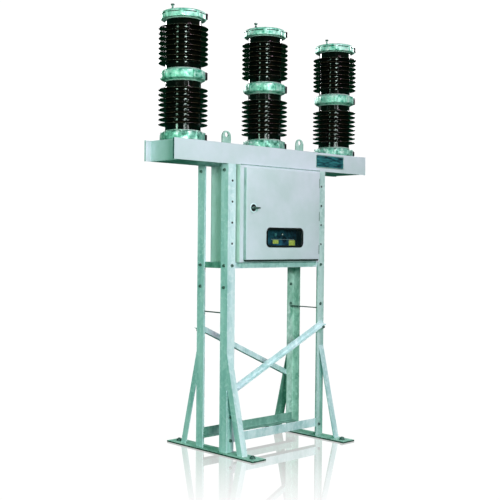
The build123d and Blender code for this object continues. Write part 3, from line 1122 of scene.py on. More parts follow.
@dataclass
class Stand:
    """Angle-iron stand on two base plates, bolted up and welded at its feet."""

    edge: float = 1.6
    tie_edge: float = 0.8
    plate_edge: float = 1.2
    anchor_x: float = 521.0
    anchor_y: float = 435.0
    lower_rail_z: float = 107.0
    cabinet_rail_z: float = 1472.0
    side_bolt_z: float = 1302.0
    bolt_x: float = 516.0
    bolt_y: float = 138.0
    beam_bolt_z: float = 2214.0
    hole_heights: Sequence[float] = (2132.0, 1969.0, 1806.0, 1643.0)
    face_bolts: Sequence[tuple[float, float]] = ((-516.0, 292.0), (516.0, 1138.0))
    inner_bolt_heights: Sequence[float] = (1291.0, 1120.0)
    flange: float = 8.0
    brace_x: float = 512.0
    brace_slope: float = 0.411
    strut_foot: float = 56.0
    plug_stem: float = 6.8
    plug_head: float = 8.8
    plug_steps: int = 28
    edge_slope: float = 0.5
    corners: Sequence[Corner] = tuple(Corner(side, face) for side in Side for face in Face)
    # Members with a finish of their own; the darker zinc on the side rails, back rail and back
    # strut is painted shade.
    odd_members: dict[str, Finish] = field(default_factory=lambda: {
        "side_rail_left": SHADED_ZINC,
        "side_rail_right": SHADED_ZINC,
        "lower_rail_back": SHADED_ZINC,
        "strut_back_right": SHADED_ZINC,
        "leg_back_right": BLOTCHED_ZINC,
        "leg_front_right": AGED_ZINC,
    })
    lattice_bolt: HexBolt = field(default_factory=lambda: HexBolt(19.0, 8.0, 13.0))
    anchor: HexBolt = field(default_factory=lambda: HexBolt(36.0, 14.0, 24.0, 3.0, 12.0, 6.0))
    weld: WeldBead = field(default_factory=WeldBead)

    def members(self) -> Iterator[Piece]:
        """Replace each steel member by its shape with rolled edges.

        Yields:
            The new members.
        """
        pairs = [(part, face) for part in ("leg", "strut") for face in ("front", "back")]
        names = []
        for side in ("left", "right"):
            names += [f"side_rail_{side}", *(f"{part}_{face}_{side}" for part, face in pairs)]
        for face in ("front", "back"):
            names += [f"{part}_{face}" for part in ("diagonal_brace", "lower_rail", "cabinet_rail")]
        for name in names:
            yield eased(name, self.odd_members.get(name, ZINC), self.edge)
        for side in ("left", "right"):
            yield eased(f"side_tie_{side}", TIE_STEEL, self.tie_edge)
            plate = eased(f"base_plate_{side}", PLATE_ZINC, self.plate_edge)
            yield faced(
                plate, DARK_PLATE_EDGE, lambda centre, normal: abs(normal.z) < self.edge_slope
            )

    def lattice_bolts(self) -> Piece:
        """Bolt the rails and ties to the legs, with a few bolts left in spare holes.

        Returns:
            The bolts.
        """
        places = []
        for corner in self.corners:
            side, face = corner.side.value, corner.face.value
            outer, _ = corner.foot("leg")
            for z in (self.lower_rail_z, self.cabinet_rail_z):
                seat = Vector((side * self.bolt_x * MM, outer.y, z * MM))
                places.append((seat, Vector((0, face, 0))))
            for z in (self.beam_bolt_z, self.side_bolt_z, self.cabinet_rail_z):
                seat = Vector((outer.x, face * self.bolt_y * MM, z * MM))
                places.append((seat, Vector((side, 0, 0))))
        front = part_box("leg_front_left")[0].y
        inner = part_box("leg_back_right")[1].y - self.flange * MM
        for x, z in self.face_bolts:
            places.append((Vector((x * MM, front, z * MM)), FORWARD))
        for z in self.inner_bolt_heights:
            places.append((Vector((self.bolt_x * MM, inner, z * MM)), FORWARD))
        return fit(self.lattice_bolt.set_at("lattice_bolts", places), BOLT_ZINC, Rider.FRAME)

    def hole_shade_plugs(self) -> Piece:
        """Press a black moulded plug into each spare hole in the legs, as painted shade inside the
        holes.

        Returns:
            The plugs.
        """
        stem, head = self.plug_stem, self.plug_head
        outline = [
            (0.2, -10), (stem - 1, -10), (stem, -8), (stem, 0), (head, 0), (head, 0.7),
            (head - 0.9, 1.7), (head - 3, 2.4), (0.2, 2.7),
        ]
        moves = [
            facing(
                Vector((corner.side.value * self.bolt_x * MM, corner.foot("leg")[0].y, z * MM)),
                Vector((0, corner.face.value, 0)),
            )
            for corner in self.corners
            for z in self.hole_heights
        ]
        plug = smooth(turned("plug_pattern", outline, self.plug_steps))
        return fit(copied("hole_shade_plugs", plug, moves), BLACK_MOULDING, Rider.FRAME)

    def brace_bolts(self) -> Piece:
        """Bolt both ends of the diagonal braces to the legs.

        Returns:
            The bolts.
        """
        places = []
        for face in Face:
            low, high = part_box(f"diagonal_brace_{face.name.lower()}")
            y = low.y if face is Face.FRONT else high.y
            for x in (-self.brace_x, self.brace_x):
                z = (low.z + high.z) / 2 - face.value * self.brace_slope * x * MM
                places.append((Vector((x * MM, y, z)), Vector((0, face.value, 0))))
        return fit(self.lattice_bolt.set_at("brace_bolts", places), BOLT_ZINC, Rider.FRAME)

    def anchor_bolts(self) -> Piece:
        """Set the foundation bolts in the base plates.

        Returns:
            The bolts.
        """
        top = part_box("base_plate_left")[1].z
        x, y = self.anchor_x * MM, self.anchor_y * MM
        places = [
            (Vector((corner.side.value * x, corner.face.value * y, top)), UP)
            for corner in self.corners
        ]
        return fit(self.anchor.set_at("anchor_bolts", places), TIE_STEEL, Rider.FRAME)

    def foot_welds(self) -> Piece:
        """Weld the legs and struts to the base plates.

        Returns:
            The welds.
        """
        beads = []
        for corner in self.corners:
            for part in ("leg", "strut"):
                outer, inner = corner.foot(part)
                if part == "strut":
                    inner.y = outer.y - corner.face.value * self.strut_foot * MM
                beads.append(self.weld.run(outer, Vector((outer.x, inner.y, outer.z))))
                beads.append(self.weld.run(outer, Vector((inner.x, outer.y, outer.z))))
        return fit(joined("foot_welds", beads), WELD, Rider.FRAME)

    def build(self) -> Iterator[Piece]:
        """Build the stand.

        Yields:
            Its pieces.
        """
        yield from self.members()
        yield from (self.lattice_bolts(), self.brace_bolts(), self.anchor_bolts())
        yield from (self.hole_shade_plugs(), self.foot_welds())


# ---------------------------------------------------------------- beam


@dataclass
class Beam:
    """Sheet-steel beam that carries the poles, with its nameplate and lifting lugs."""

    edge: float = 1.4
    plate_lip: tuple[float, float] = (0.5, 0.3)
    plate_border: float = 7.0
    plate_well: tuple[float, float] = (0.4, -0.4)
    plate_corner: float = 13.0
    rivet_inset: float = 9.0
    rivet_radius: float = 3.2
    rivet_height: float = 2.4
    rivet_round: float = 0.9
    lug_edge: float = 2.0
    hem: float = 17.0
    strip_thickness: float = 1.6
    strip_inset: float = 1.0
    strip_round: float = 0.6
    weld: WeldBead = field(default_factory=lambda: WeldBead(4.5, 5.0))

    def nameplate(self) -> Piece:
        """Model the bare plate: rounded corners, an undyed rim, and a rivet in each corner.

        Returns:
            The plate.
        """
        low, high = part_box("nameplate")
        middle = (low + high) / (2 * MM)
        plate = softened(slab("nameplate_bare", low, high), self.plate_corner, 4, along(FORWARD))
        steps = self.plate_lip, (self.plate_border, 0.0), self.plate_well
        sunk(plate, towards(FORWARD), *steps)
        faced(
            dress(plate, PLATE_RIM),
            PLATE_PAINT,
            lambda centre, normal: towards(FORWARD)(centre, normal)
            and (centre - middle).xz.length < 1,
        )
        rivets = []
        inset = self.rivet_inset * MM
        for x in (low.x + inset, high.x - inset):
            for z in (low.z + inset, high.z - inset):
                spot = Vector((x, low.y, z))
                rivet = rod("rivet", spot, self.rivet_radius, self.rivet_height, FORWARD, 12)
                softened(rivet, self.rivet_round, 2, faces=towards(FORWARD))
                rivets.append(dress(rivet, BOLT_ZINC))
        bare = smooth(joined("nameplate_bare", [plate, *rivets]), 20)
        return fit(bare, PLATE_PAINT, Rider.FRAME, "nameplate")

    def hem_shade_strips(self) -> Piece:
        """Lay dark strips on the ends of the front wall, as painted shade on its hems.

        Returns:
            The strips.
        """
        low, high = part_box("beam_channel")
        inset = self.strip_inset
        strips = []
        for side, x in zip(Side, (low.x, high.x)):
            left, right = sorted((x, x + side.value * self.strip_thickness * MM))
            strip = slab(
                "hem_shade_strip",
                Vector((left, low.y, low.z)) + metres(0, inset, inset),
                Vector((right, low.y, high.z)) + metres(0, self.hem - inset, -inset),
            )
            strips.append(softened(strip, self.strip_round, 2, along(UP)))
        return fit(smooth(joined("beam_hem_shade_strips", strips)), HEM_SHADE_PAINT, Rider.FRAME)

    def lug_welds(self) -> Piece:
        """Weld the lifting lugs to the top of the beam.

        Returns:
            The welds.
        """
        beads = []
        for side in ("left", "right"):
            low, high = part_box(f"lifting_lug_{side}")
            for y in (low.y, high.y):
                beads.append(self.weld.run(Vector((low.x, y, low.z)), Vector((high.x, y, low.z))))
        return fit(joined("lug_welds", beads), WELD, Rider.FRAME)

    def build(self) -> Iterator[Piece]:
        """Build the beam.

        Yields:
            Its pieces.
        """
        for part in ("channel", "bottom_cover", "end_pan_left", "end_pan_right"):
            yield eased(f"beam_{part}", ENAMEL, self.edge)
        for side in ("left", "right"):
            yield eased(f"lifting_lug_{side}", LUG_ZINC, self.lug_edge)
        yield from (self.nameplate(), self.hem_shade_strips(), self.lug_welds())


# ---------------------------------------------------------------- poles


@dataclass
class Poles:
    """The three poles, each copied from parts that are modelled once over the origin."""

    core: float = 135.5
    bore: float = 98.0
    porcelain_height: float = 378.0
    shed: float = 188.0
    shed_count: int = 8
    first_shed: float = 58.0
    pitch: float = 37.4
    root: float = 17.0
    tip: float = 4.0
    tip_turns: Sequence[float] = (-80.0, -35.0, 10.0, 60.0)
    droop: float = 7.0
    root_fillet: float = 2.5
    land: float = 0.6
    shell_steps: int = 112
    hollow: float = 60.0
    body: float = 170.0
    rim: float = 145.0
    bead: float = 1.5
    lobe: float = 25.0
    lobe_circle: float = 152.0
    lobe_count: int = 8
    base_foot: float = 54.0
    base_height: float = 70.0
    middle_height: float = 86.0
    cap_height: float = 75.0
    cast_steps: int = 96
    grain: float = 2.6
    smoothing: float = 0.7
    smoothing_passes: int = 26
    kept_faces: float = 0.3
    gasket_foot: float = 35.0
    pad_width: float = 90.0
    pad_height: float = 56.0
    pad_depth: float = 50.0
    pad_reach: float = 180.0
    pad_edge: float = 2.0
    pad_hole: float = 5.5
    pad_holes_x: float = 25.0
    pad_holes_z: float = 14.0
    # Black blocks on one lobe of each casting, painted shade: their circle, radius, rounding, spans
    # and lobe.
    shade_block_circle: float = 161.0
    shade_block: float = 24.0
    shade_block_round: float = 7.0
    shade_block_spans: Sequence[tuple[float, float]] = ((3.0, 46.0), (14.0, 58.0), (8.0, 44.0))
    shaded_lobe: float = -45.0
    bolt_circle: float = 162.0
    stud_circle: float = 108.0
    lobe_bolt: HexBolt = field(default_factory=lambda: HexBolt(19.0, 8.0, 12.5, 2.0))

    def levels(self) -> tuple[float, float, float, float]:
        """Add up the heights of the parts.

        Returns:
            Feet of the lower porcelain, middle casting, upper porcelain and cap over the base's.
        """
        middle = self.base_height + self.porcelain_height
        upper = middle + self.middle_height
        return self.base_height, middle, upper, upper + self.porcelain_height

    def lobes(self, circle: float, height: float) -> list[Vector]:
        """Return the middle of each lobe at a height, in metres, on a circle."""
        turns = [math.tau * index / self.lobe_count for index in range(self.lobe_count)]
        return [metres(circle * math.cos(turn), circle * math.sin(turn), height) for turn in turns]

    def shed_outline(self, height: float) -> list[tuple[float, float]]:
        """Outline one drooping shed, filleted at its root and rounded at its tip.

        Args:
            height: Height of the middle of its root.

        Returns:
            Corners from the core below the shed to the core above it.
        """
        core, fillet, nose, end = self.core, self.root_fillet, self.tip / 2, height - self.droop
        under, over = height - self.root / 2, height + self.root / 2
        tip = [
            (self.shed - nose + nose * math.cos(turn), end + nose * math.sin(turn))
            for turn in map(math.radians, self.tip_turns)
        ]
        return [
            (core, under - fillet - self.land),
            (core, under - fillet),
            (core + 0.3 * fillet, under - 0.3 * fillet),
            (core + fillet, under),
            (self.shed - 3 * nose, end - nose),
            *tip,
            (core + 1.4 * fillet, over - 0.25 * fillet),
            (core + 0.4 * fillet, over + 0.5 * fillet),
            (core, over + 1.6 * fillet),
            (core, over + 1.6 * fillet + self.land),
        ]

    def porcelain(self) -> Piece:
        """Turn one shedded insulator, its glaze paler on the edges of the sheds: thin glaze and
        painted reflection.

        Returns:
            The insulator.
        """
        outline = [(self.bore, 0.0), (self.core, 0.0)]
        for index in range(self.shed_count):
            outline += self.shed_outline(self.first_shed + index * self.pitch)
        outline += [(self.core, self.porcelain_height), (self.bore, self.porcelain_height)]
        shell = dress(smooth(turned("porcelain_pattern", outline, self.shell_steps), 60), GLAZE)
        # Shed edges get the paler glaze: thin glaze, and a painted reflection of the floor.
        thin = self.shed - self.tip / 2
        return faced(shell, GLAZE_RIM_REFLECTION, lambda centre, normal: centre.xy.length > thin)

    def cast(self, name: str, outline: Outline, lobe: Patch) -> Piece:
        """Cast a body and its bolt lobes as one skin with soft inside corners.

        Args:
            name: Name of the casting.
            outline: Turned outline of its body.
            lobe: Foot and top of the lobes, and the slopes round their feet and tops.

        Returns:
            The casting.
        """
        foot, top, *slopes = lobe
        parts = [turned(name, outline, self.cast_steps)]
        for place in self.lobes(self.lobe_circle, (foot + top) / 2):
            boss = rod("lobe", place, self.lobe, top - foot, sides=40)
            for slope, way in zip(slopes, (DOWN, UP)):
                if slope:
                    softened(boss, slope, 4, faces=towards(way))
            parts.append(boss)
        casting = joined(name, parts)
        casting.data.remesh_voxel_size = self.grain * MM
        hold(casting)
        bpy.ops.object.voxel_remesh()
        worked(casting, "SMOOTH", factor=self.smoothing, iterations=self.smoothing_passes)
        worked(casting, "DECIMATE", ratio=self.kept_faces)
        return smooth(casting, 70)

    def base_flange(self) -> Piece:
        """Cast the foot of the pole.

        Returns:
            The casting.
        """
        foot, top, body, rim = self.base_foot, self.base_height, self.body, self.rim
        outline = [
            (self.hollow, 0), (body, 0), (body, foot), (body - 2, foot + 5), (body - 6, foot + 10),
            (rim, foot + 10), (rim + self.bead, top - 3), (rim, top), (self.hollow, top),
        ]
        return self.cast("base_casting_pattern", outline, (0, foot, 0, 14))

    def middle_flange(self) -> Piece:
        """Cast the joint between the porcelains.

        Returns:
            The casting.
        """
        top, body, rim = self.middle_height, self.body, self.rim
        lower = [
            (self.hollow, 0), (rim, 0), (rim + self.bead, 3), (rim, 6), (body - 3, 10), (body, 18),
        ]
        upper = [(radius, top - height) for radius, height in reversed(lower)]
        return self.cast("middle_casting_pattern", [*lower, *upper], (7, top - 7, 20, 20))

    def top_cap(self) -> Piece:
        """Cast the cover of the pole.

        Returns:
            The casting.
        """
        body, top = self.body, self.cap_height
        outline = [
            (0.5, 0), (body, 0), (body, 50), (body - 5, 56), (body - 18, 62), (120, 68), (90, 73),
            (60, top), (0.5, top),
        ]
        return self.cast("cap_casting_pattern", outline, (0, 56, 10, 20))

    def terminal_pad(self) -> Piece:
        """Machine the terminal block, with its four bolt holes.

        Returns:
            The block.
        """
        middle = metres(0, -self.pad_reach, self.middle_height / 2)
        half_width, half_height = self.pad_width / 2, self.pad_height / 2
        low = middle - metres(half_width, 0, half_height)
        high = middle + metres(half_width, self.pad_depth, half_height)
        pad = softened(slab("terminal_pattern", low, high), self.pad_edge, 2, anywhere)
        holes = [
            rod("hole", middle + metres(x, 0, z), self.pad_hole, TOOL_LENGTH, BACKWARD, 20)
            for x in (-self.pad_holes_x, self.pad_holes_x)
            for z in (-self.pad_holes_z, self.pad_holes_z)
        ]
        return smooth(cut_away(pad, *holes))

    def stud(self) -> Piece:
        """Turn the round-headed stud on the cap.

        Returns:
            The stud.
        """
        outline = [
            (0.2, 54), (8, 54), (8, 92), (9, 96), (14, 97.5), (15, 100), (15, 104),
            (12.5, 107.6), (7, 109), (0.2, 109),
        ]
        place = metres(-self.stud_circle, 0, 0)
        return smooth(turned("stud_pattern", outline, 24, place), 50)

    def gasket(self) -> Piece:
        """Turn the gasket that shows between the lobes of the cap, where its lid is bolted on.

        Returns:
            The gasket.
        """
        place = metres(0, 0, self.gasket_foot)
        reach, inner = self.body + 2, self.body - 20
        outline = [
            (inner, 0), (reach - 0.8, 0), (reach, 0.8), (reach, 5.2), (reach - 0.8, 6), (inner, 6),
        ]
        return smooth(turned("gasket_pattern", outline, self.cast_steps, place), 50)

    def cement(self) -> Piece:
        """Turn the bead between porcelain and casting, and lay it in the joints of one pole.

        Returns:
            The four beads.
        """
        outline = [(130, 0), (143, 0), (142.4, 2.6), (139.5, 4.6), (134, 6), (130, 6)]
        bead = smooth(turned("cement_bead", outline, 72), 60)
        moves = [
            facing(metres(0, 0, level), way) for level, way in zip(self.levels(), (UP, DOWN) * 2)
        ]
        return copied("cement_pattern", bead, moves)

    def bolts(self) -> Piece:
        """Bolt the base casting down through its lobes.

        Returns:
            The bolts.
        """
        seats = self.lobes(self.bolt_circle, self.base_foot - 1)
        return self.lobe_bolt.set_at("bolts_pattern", [(seat, UP) for seat in seats])

    def shade_blocks(self) -> Piece:
        """Mould round-ended black blocks on one lobe of each casting of a pole, as painted shade on
        the castings' dark end.

        Returns:
            The three stoppers.
        """
        _, middle, _, cap = self.levels()
        spans = zip((0, middle, cap), self.shade_block_spans)
        turn = Matrix.Rotation(math.radians(self.shaded_lobe), 4, "Z")
        shade_blocks = []
        for level, (foot, height) in spans:
            place = turn @ metres(self.shade_block_circle, 0, level + foot + height / 2)
            shade_block = rod("shade_block", place, self.shade_block, height)
            for way in (DOWN, UP):
                softened(shade_block, self.shade_block_round, 4, faces=towards(way))
            shade_blocks.append(shade_block)
        return smooth(joined("shade_blocks_pattern", shade_blocks), 40)

    def foot(self, node: str) -> Vector:
        """Find the middle of the underside of a round node.

        Args:
            node: Node of the rigid model.

        Returns:
            The place, in metres.
        """
        low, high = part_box(node)
        middle = (low + high) / 2
        if node.startswith("middle_flange"):
            middle.y = high.y - (high.x - low.x) / 2  # Its terminal block reaches out in front.
        return Vector((middle.x, middle.y, low.z))

    def build(self) -> Iterator[Piece]:
        """Build the poles.

        Yields:
            Their pieces.
        """
        shell = self.porcelain()
        castings = {
            "lower_porcelain": (shell, "glazed", GLAZE),
            "upper_porcelain": (shell, "glazed", GLAZE),
            "base_flange": (self.base_flange(), "cast", CASTING),
            "middle_flange": (self.middle_flange(), "cast", LIGHTER_CASTING),
            "top_cap": (self.top_cap(), "cast", PALEST_CASTING),
        }
        fittings = {
            "terminal": (self.terminal_pad(), "middle_flange", LIGHTER_CASTING),
            "cap_stud": (self.stud(), "top_cap", BOLT_ZINC),
            "cap_gasket": (self.gasket(), "top_cap", SEAL_RUBBER),
            "cement": (self.cement(), "base_flange", JOINT_CEMENT),
            "pole_bolts": (self.bolts(), "base_flange", BOLT_ZINC),
            # The black blocks on one lobe of each casting are painted shade.
            "lobe_shade_blocks": (self.shade_blocks(), "base_flange", BLACK_MOULDING),
        }
        for pole in ("left", "middle", "right"):
            for part, (pattern, made, finish) in castings.items():
                node = f"{part}_{pole}"
                piece = twin(pattern, f"{node}_{made}", Matrix.Translation(self.foot(node)))
                yield fit(piece, finish, Rider.FRAME, node)
            for title, (pattern, part, finish) in fittings.items():
                place = Matrix.Translation(self.foot(f"{part}_{pole}"))
                yield fit(twin(pattern, f"{title}_{pole}", place), finish, Rider.FRAME)
        for pattern in {pattern for pattern, *_ in (*castings.values(), *fittings.values())}:
            bpy.data.objects.remove(pattern)


# ---------------------------------------------------------------- cabinet


@dataclass
class Cabinet:
    """Sheet-steel cabinet with its weather seal, hinges and spring mechanism housing."""

    edge: float = 1.2
    doorway_half: float = 400.0
    doorway_low: float = 1541.0
    doorway_high: float = 2215.0
    doorway_corner: float = 5.0
    seal_width: float = 14.0
    seal_height: float = 8.0
    seal_corner: float = 16.0
    seal_round: float = 3.0
    mastic_inset: float = 2.0
    mastic_proud: float = 1.4
    mastic_depth: float = 7.0
    mastic_drop: float = 4.9
    mastic_rise: float = 2.1
    mastic_round: float = 1.1
    shaded_wall_slope: float = 0.7

    def seal(self) -> Piece:
        """Press the rubber weather seal on the edge of the doorway.

        Returns:
            The seal.
        """
        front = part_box("cabinet_wall_left")[0].y / MM
        low = metres(-self.doorway_half, front - self.seal_height, self.doorway_low)
        high = metres(self.doorway_half, front, self.doorway_high)
        grow, clear = metres(self.seal_width, 0, self.seal_width), metres(0, CLEAR, 0)
        ring = slab("doorway_seal", low - grow, high + grow)
        softened(ring, self.seal_corner, 4, along(FORWARD))
        opening = slab("opening", low - clear, high + clear)
        cut_away(ring, softened(opening, self.doorway_corner, 4, along(FORWARD)))
        worn(ring, self.seal_round, 3, MOULDED_CORNER)
        return fit(smooth(ring), SEAL_RUBBER, Rider.FRAME)

    def roof_shadow_bead(self) -> Piece:
        """Run a darker bead of mastic along the front of the roof, where it meets the beam, as a
        painted shadow line.

        Returns:
            The bead.
        """
        low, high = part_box("cabinet_roof")
        bead = slab(
            "roof_shadow_bead",
            Vector((low.x, low.y, high.z))
            + metres(self.mastic_inset, -self.mastic_proud, -self.mastic_drop),
            Vector((high.x, low.y, high.z))
            + metres(-self.mastic_inset, self.mastic_depth, self.mastic_rise),
        )
        softened(bead, self.mastic_round, 3, anywhere)
        return fit(smooth(bead), MASTIC_SHADOW_PAINT, Rider.FRAME)

    def build(self) -> Iterator[Piece]:
        """Build the cabinet.

        Yields:
            Its pieces.
        """
        for part in ("wall_left", "wall_right", "floor", "roof", "back"):
            wall = eased(f"cabinet_{part}", ENAMEL, self.edge)
            # Faces that turn sideways get the greener enamel, as painted shade.
            yield faced(
                wall, SIDE_SHADE_ENAMEL, lambda centre, normal: abs(normal.x) > self.shaded_wall_slope
            )
        yield eased("mechanism_housing", HOUSING_PAINT, self.edge)
        yield dress(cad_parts["cabinet_hinges"], BOLT_ZINC)
        yield from (self.seal(), self.roof_shadow_bead())


# ---------------------------------------------------------------- door


@dataclass
class Door:
    """Pressed door with its window, lock and hinges."""

    sheet: float = 2.0
    fold: float = 6.0
    shaded_return_slope: float = 0.6
    window_width: float = 429.0
    window_height: float = 160.0
    window_corner: float = 40.0
    bezel_width: float = 18.0
    bezel_lap: float = 7.0
    bezel_proud: float = 4.0
    bezel_depth: float = 8.0
    bezel_round: float = 2.2
    plate_radius: float = 30.0
    plate_thickness: float = 6.0
    plate_round: float = 1.6
    plate_well: Sequence[tuple[float, float]] = ((1.4, 0.0), (1.2, -1.5))
    highlight_ring_width: float = 2.6
    lock_hole_radius: float = 8.4
    hub_radius: float = 13.0
    hub_depth: float = 14.0
    hub_lift: float = 0.5
    hub_round: float = 2.0
    bar_length: float = 84.0
    bar_width: float = 13.0
    bar_depth: float = 16.0
    bar_offset: float = 15.0
    bar_corner: float = 6.2
    bar_round: float = 2.2
    shaft_radius: float = 7.6
    nut_radius: float = 14.0
    nut_depth: float = 9.0
    nut_round: float = 1.2
    shaft_end: float = 4.0
    lip_drop: float = 11.0
    lip_inset: float = 3.0
    lip_round: float = 4.0

    def window_block(self, name: str, inset: float, front: float, back: float) -> Piece:
        """Start a block with the rounded outline of the window.

        Args:
            name: Name of the block.
            inset: How far inside the edge of the bezel its outline is.
            front: Front of the block along Y.
            back: Back of the block along Y.

        Returns:
            The block.
        """
        low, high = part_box("window_bezel")
        x, _, z = (low + high) / (2 * MM)
        half_x, half_z = self.window_width / 2 - inset, self.window_height / 2 - inset
        low, high = metres(x - half_x, front, z - half_z), metres(x + half_x, back, z + half_z)
        return softened(slab(name, low, high), self.window_corner - inset, 10, along(FORWARD))

    def lock_hole(self) -> Piece:
        """Start the round tool that bores the hole for the shaft of the lock.

        Returns:
            The tool.
        """
        low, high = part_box("lock_plate")
        return rod("hole", (low + high) / 2, self.lock_hole_radius, TOOL_LENGTH, BACKWARD)

    def pan(self) -> Piece:
        """Press the door from one sheet: rolled folds, a window opening and a lock hole.

        Returns:
            The pan.
        """
        low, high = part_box("door_pan")
        front, back = low.y / MM, high.y / MM
        pan = slab("door_pressed", low, high)
        softened(pan, self.fold, 4, lambda middle, way: middle.y < back - 1)
        pick(pan, faces=towards(BACKWARD))
        with editing(pan):
            bpy.ops.mesh.delete(type="FACE")
        worked(pan, "SOLIDIFY", thickness=self.sheet * MM, offset=-1.0, use_even_offset=True)
        ends = front - CLEAR, front + self.sheet + CLEAR
        opening = self.window_block("opening", self.bezel_lap, *ends)
        cut_away(pan, opening, self.lock_hole())
        fit(smooth(pan, 32), ENAMEL, Rider.DOOR, "door_pan")
        # The door's folded sides get the darker enamel, as painted shade.
        return faced(
            pan, SHADED_EDGE_ENAMEL, lambda centre, normal: abs(normal.x) > self.shaded_return_slope
        )

    def seal_lip(self) -> Piece:
        """Hang the rubber lip that keeps rain out along the foot of the door.

        Returns:
            The lip.
        """
        low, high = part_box("door_pan")
        inset = metres(self.lip_inset, self.lip_inset, 0)
        foot = low + inset - metres(0, 0, self.lip_drop)
        lip = slab("door_seal_lip", foot, Vector((high.x, high.y, low.z)) - inset)
        softened(lip, self.lip_round, 3, faces=towards(DOWN))
        return fit(smooth(lip), SEAL_RUBBER, Rider.DOOR)

    def bezel(self) -> Piece:
        """Mould the window frame, its edge rounded over.

        Returns:
            The frame.
        """
        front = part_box("door_pan")[0].y / MM
        ends = front - TOOL_LENGTH / 2, front + TOOL_LENGTH / 2
        parts = []
        for inset, near, far in (
            (0, front - self.bezel_proud, front),
            (self.bezel_lap, front, front + self.bezel_depth),
        ):
            block = self.window_block("bezel_moulded", inset, near, far)
            inner = self.window_block("opening", self.bezel_width, *ends)
            parts.append(cut_away(block, inner))
        worn(parts[0], self.bezel_round, 3, MOULDED_CORNER)
        bezel = smooth(joined("bezel_moulded", parts), 35)
        return fit(bezel, BLACK_MOULDING, Rider.DOOR, "window_bezel")

    def lock(self) -> Piece:
        """Mould the round lock plate, its rim in bright zinc as a painted highlight.

        Returns:
            The plate.
        """
        low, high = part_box("lock_plate")
        centre, middle = (low + high) / 2, (low + high) / (2 * MM)
        size = self.plate_radius, self.plate_thickness
        plate = rod("lock_plate_moulded", centre, *size, FORWARD, 48)
        softened(plate, self.plate_round, 3, faces=towards(FORWARD))
        sunk(plate, towards(FORWARD), *self.plate_well)
        # The bright zinc rim is a painted highlight round the dark plate.
        inside = self.plate_radius - self.highlight_ring_width
        dress(plate, BLACK_MOULDING)
        faced(plate, ZINC, lambda spot, normal: (spot - middle).xz.length > inside)
        plate = smooth(cut_away(plate, self.lock_hole()), 30)
        return fit(plate, BLACK_MOULDING, Rider.DOOR, "lock_plate")

    def handle(self) -> Piece:
        """Model the turning handle: hub, tapered bar, shaft and nut.

        Returns:
            The handle.
        """
        (_, front, _), (_, back, _) = (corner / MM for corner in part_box("lock_handle"))
        low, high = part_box("lock_plate")
        x, _, z = (low + high) / (2 * MM)
        seat = low.y / MM - self.hub_lift
        middle = metres(x, seat - self.hub_depth / 2, z)
        hub = rod("hub", middle, self.hub_radius, self.hub_depth, FORWARD)
        softened(hub, self.hub_round, 3, faces=towards(FORWARD))
        half_x, half_z = self.bar_length / 2, self.bar_width / 2
        bar = slab(
            "handle_turned",
            metres(x + self.bar_offset - half_x, front, z - half_z),
            metres(x + self.bar_offset + half_x, front + self.bar_depth, z + half_z),
        )
        softened(bar, self.bar_corner, 5, along(FORWARD))
        worn(bar, self.bar_round, 3, ROLLED_CORNER)
        end = back - self.shaft_end
        middle = metres(x, (seat + end) / 2, z)
        shaft = rod("shaft", middle, self.shaft_radius, end - seat, BACKWARD, 24)
        middle = metres(x, back - self.nut_depth / 2, z)
        nut = rod("nut", middle, self.nut_radius, self.nut_depth, BACKWARD, 6)
        worn(nut, self.nut_round, 2, ROLLED_CORNER)
        handle = smooth(joined("handle_turned", [bar, hub, shaft, nut]))
        return fit(handle, BOLT_ZINC, Rider.LOCK, "lock_handle")

    def build(self) -> Iterator[Piece]:
        """Build the door.

        Yields:
            Its pieces.
        """
        yield from (self.pan(), self.seal_lip(), self.bezel(), self.lock(), self.handle())
        yield dress(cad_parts["window_glass"], GLASS)
        yield dress(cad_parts["door_hinges"], BOLT_ZINC)


# ---------------------------------------------------------------- dial panel


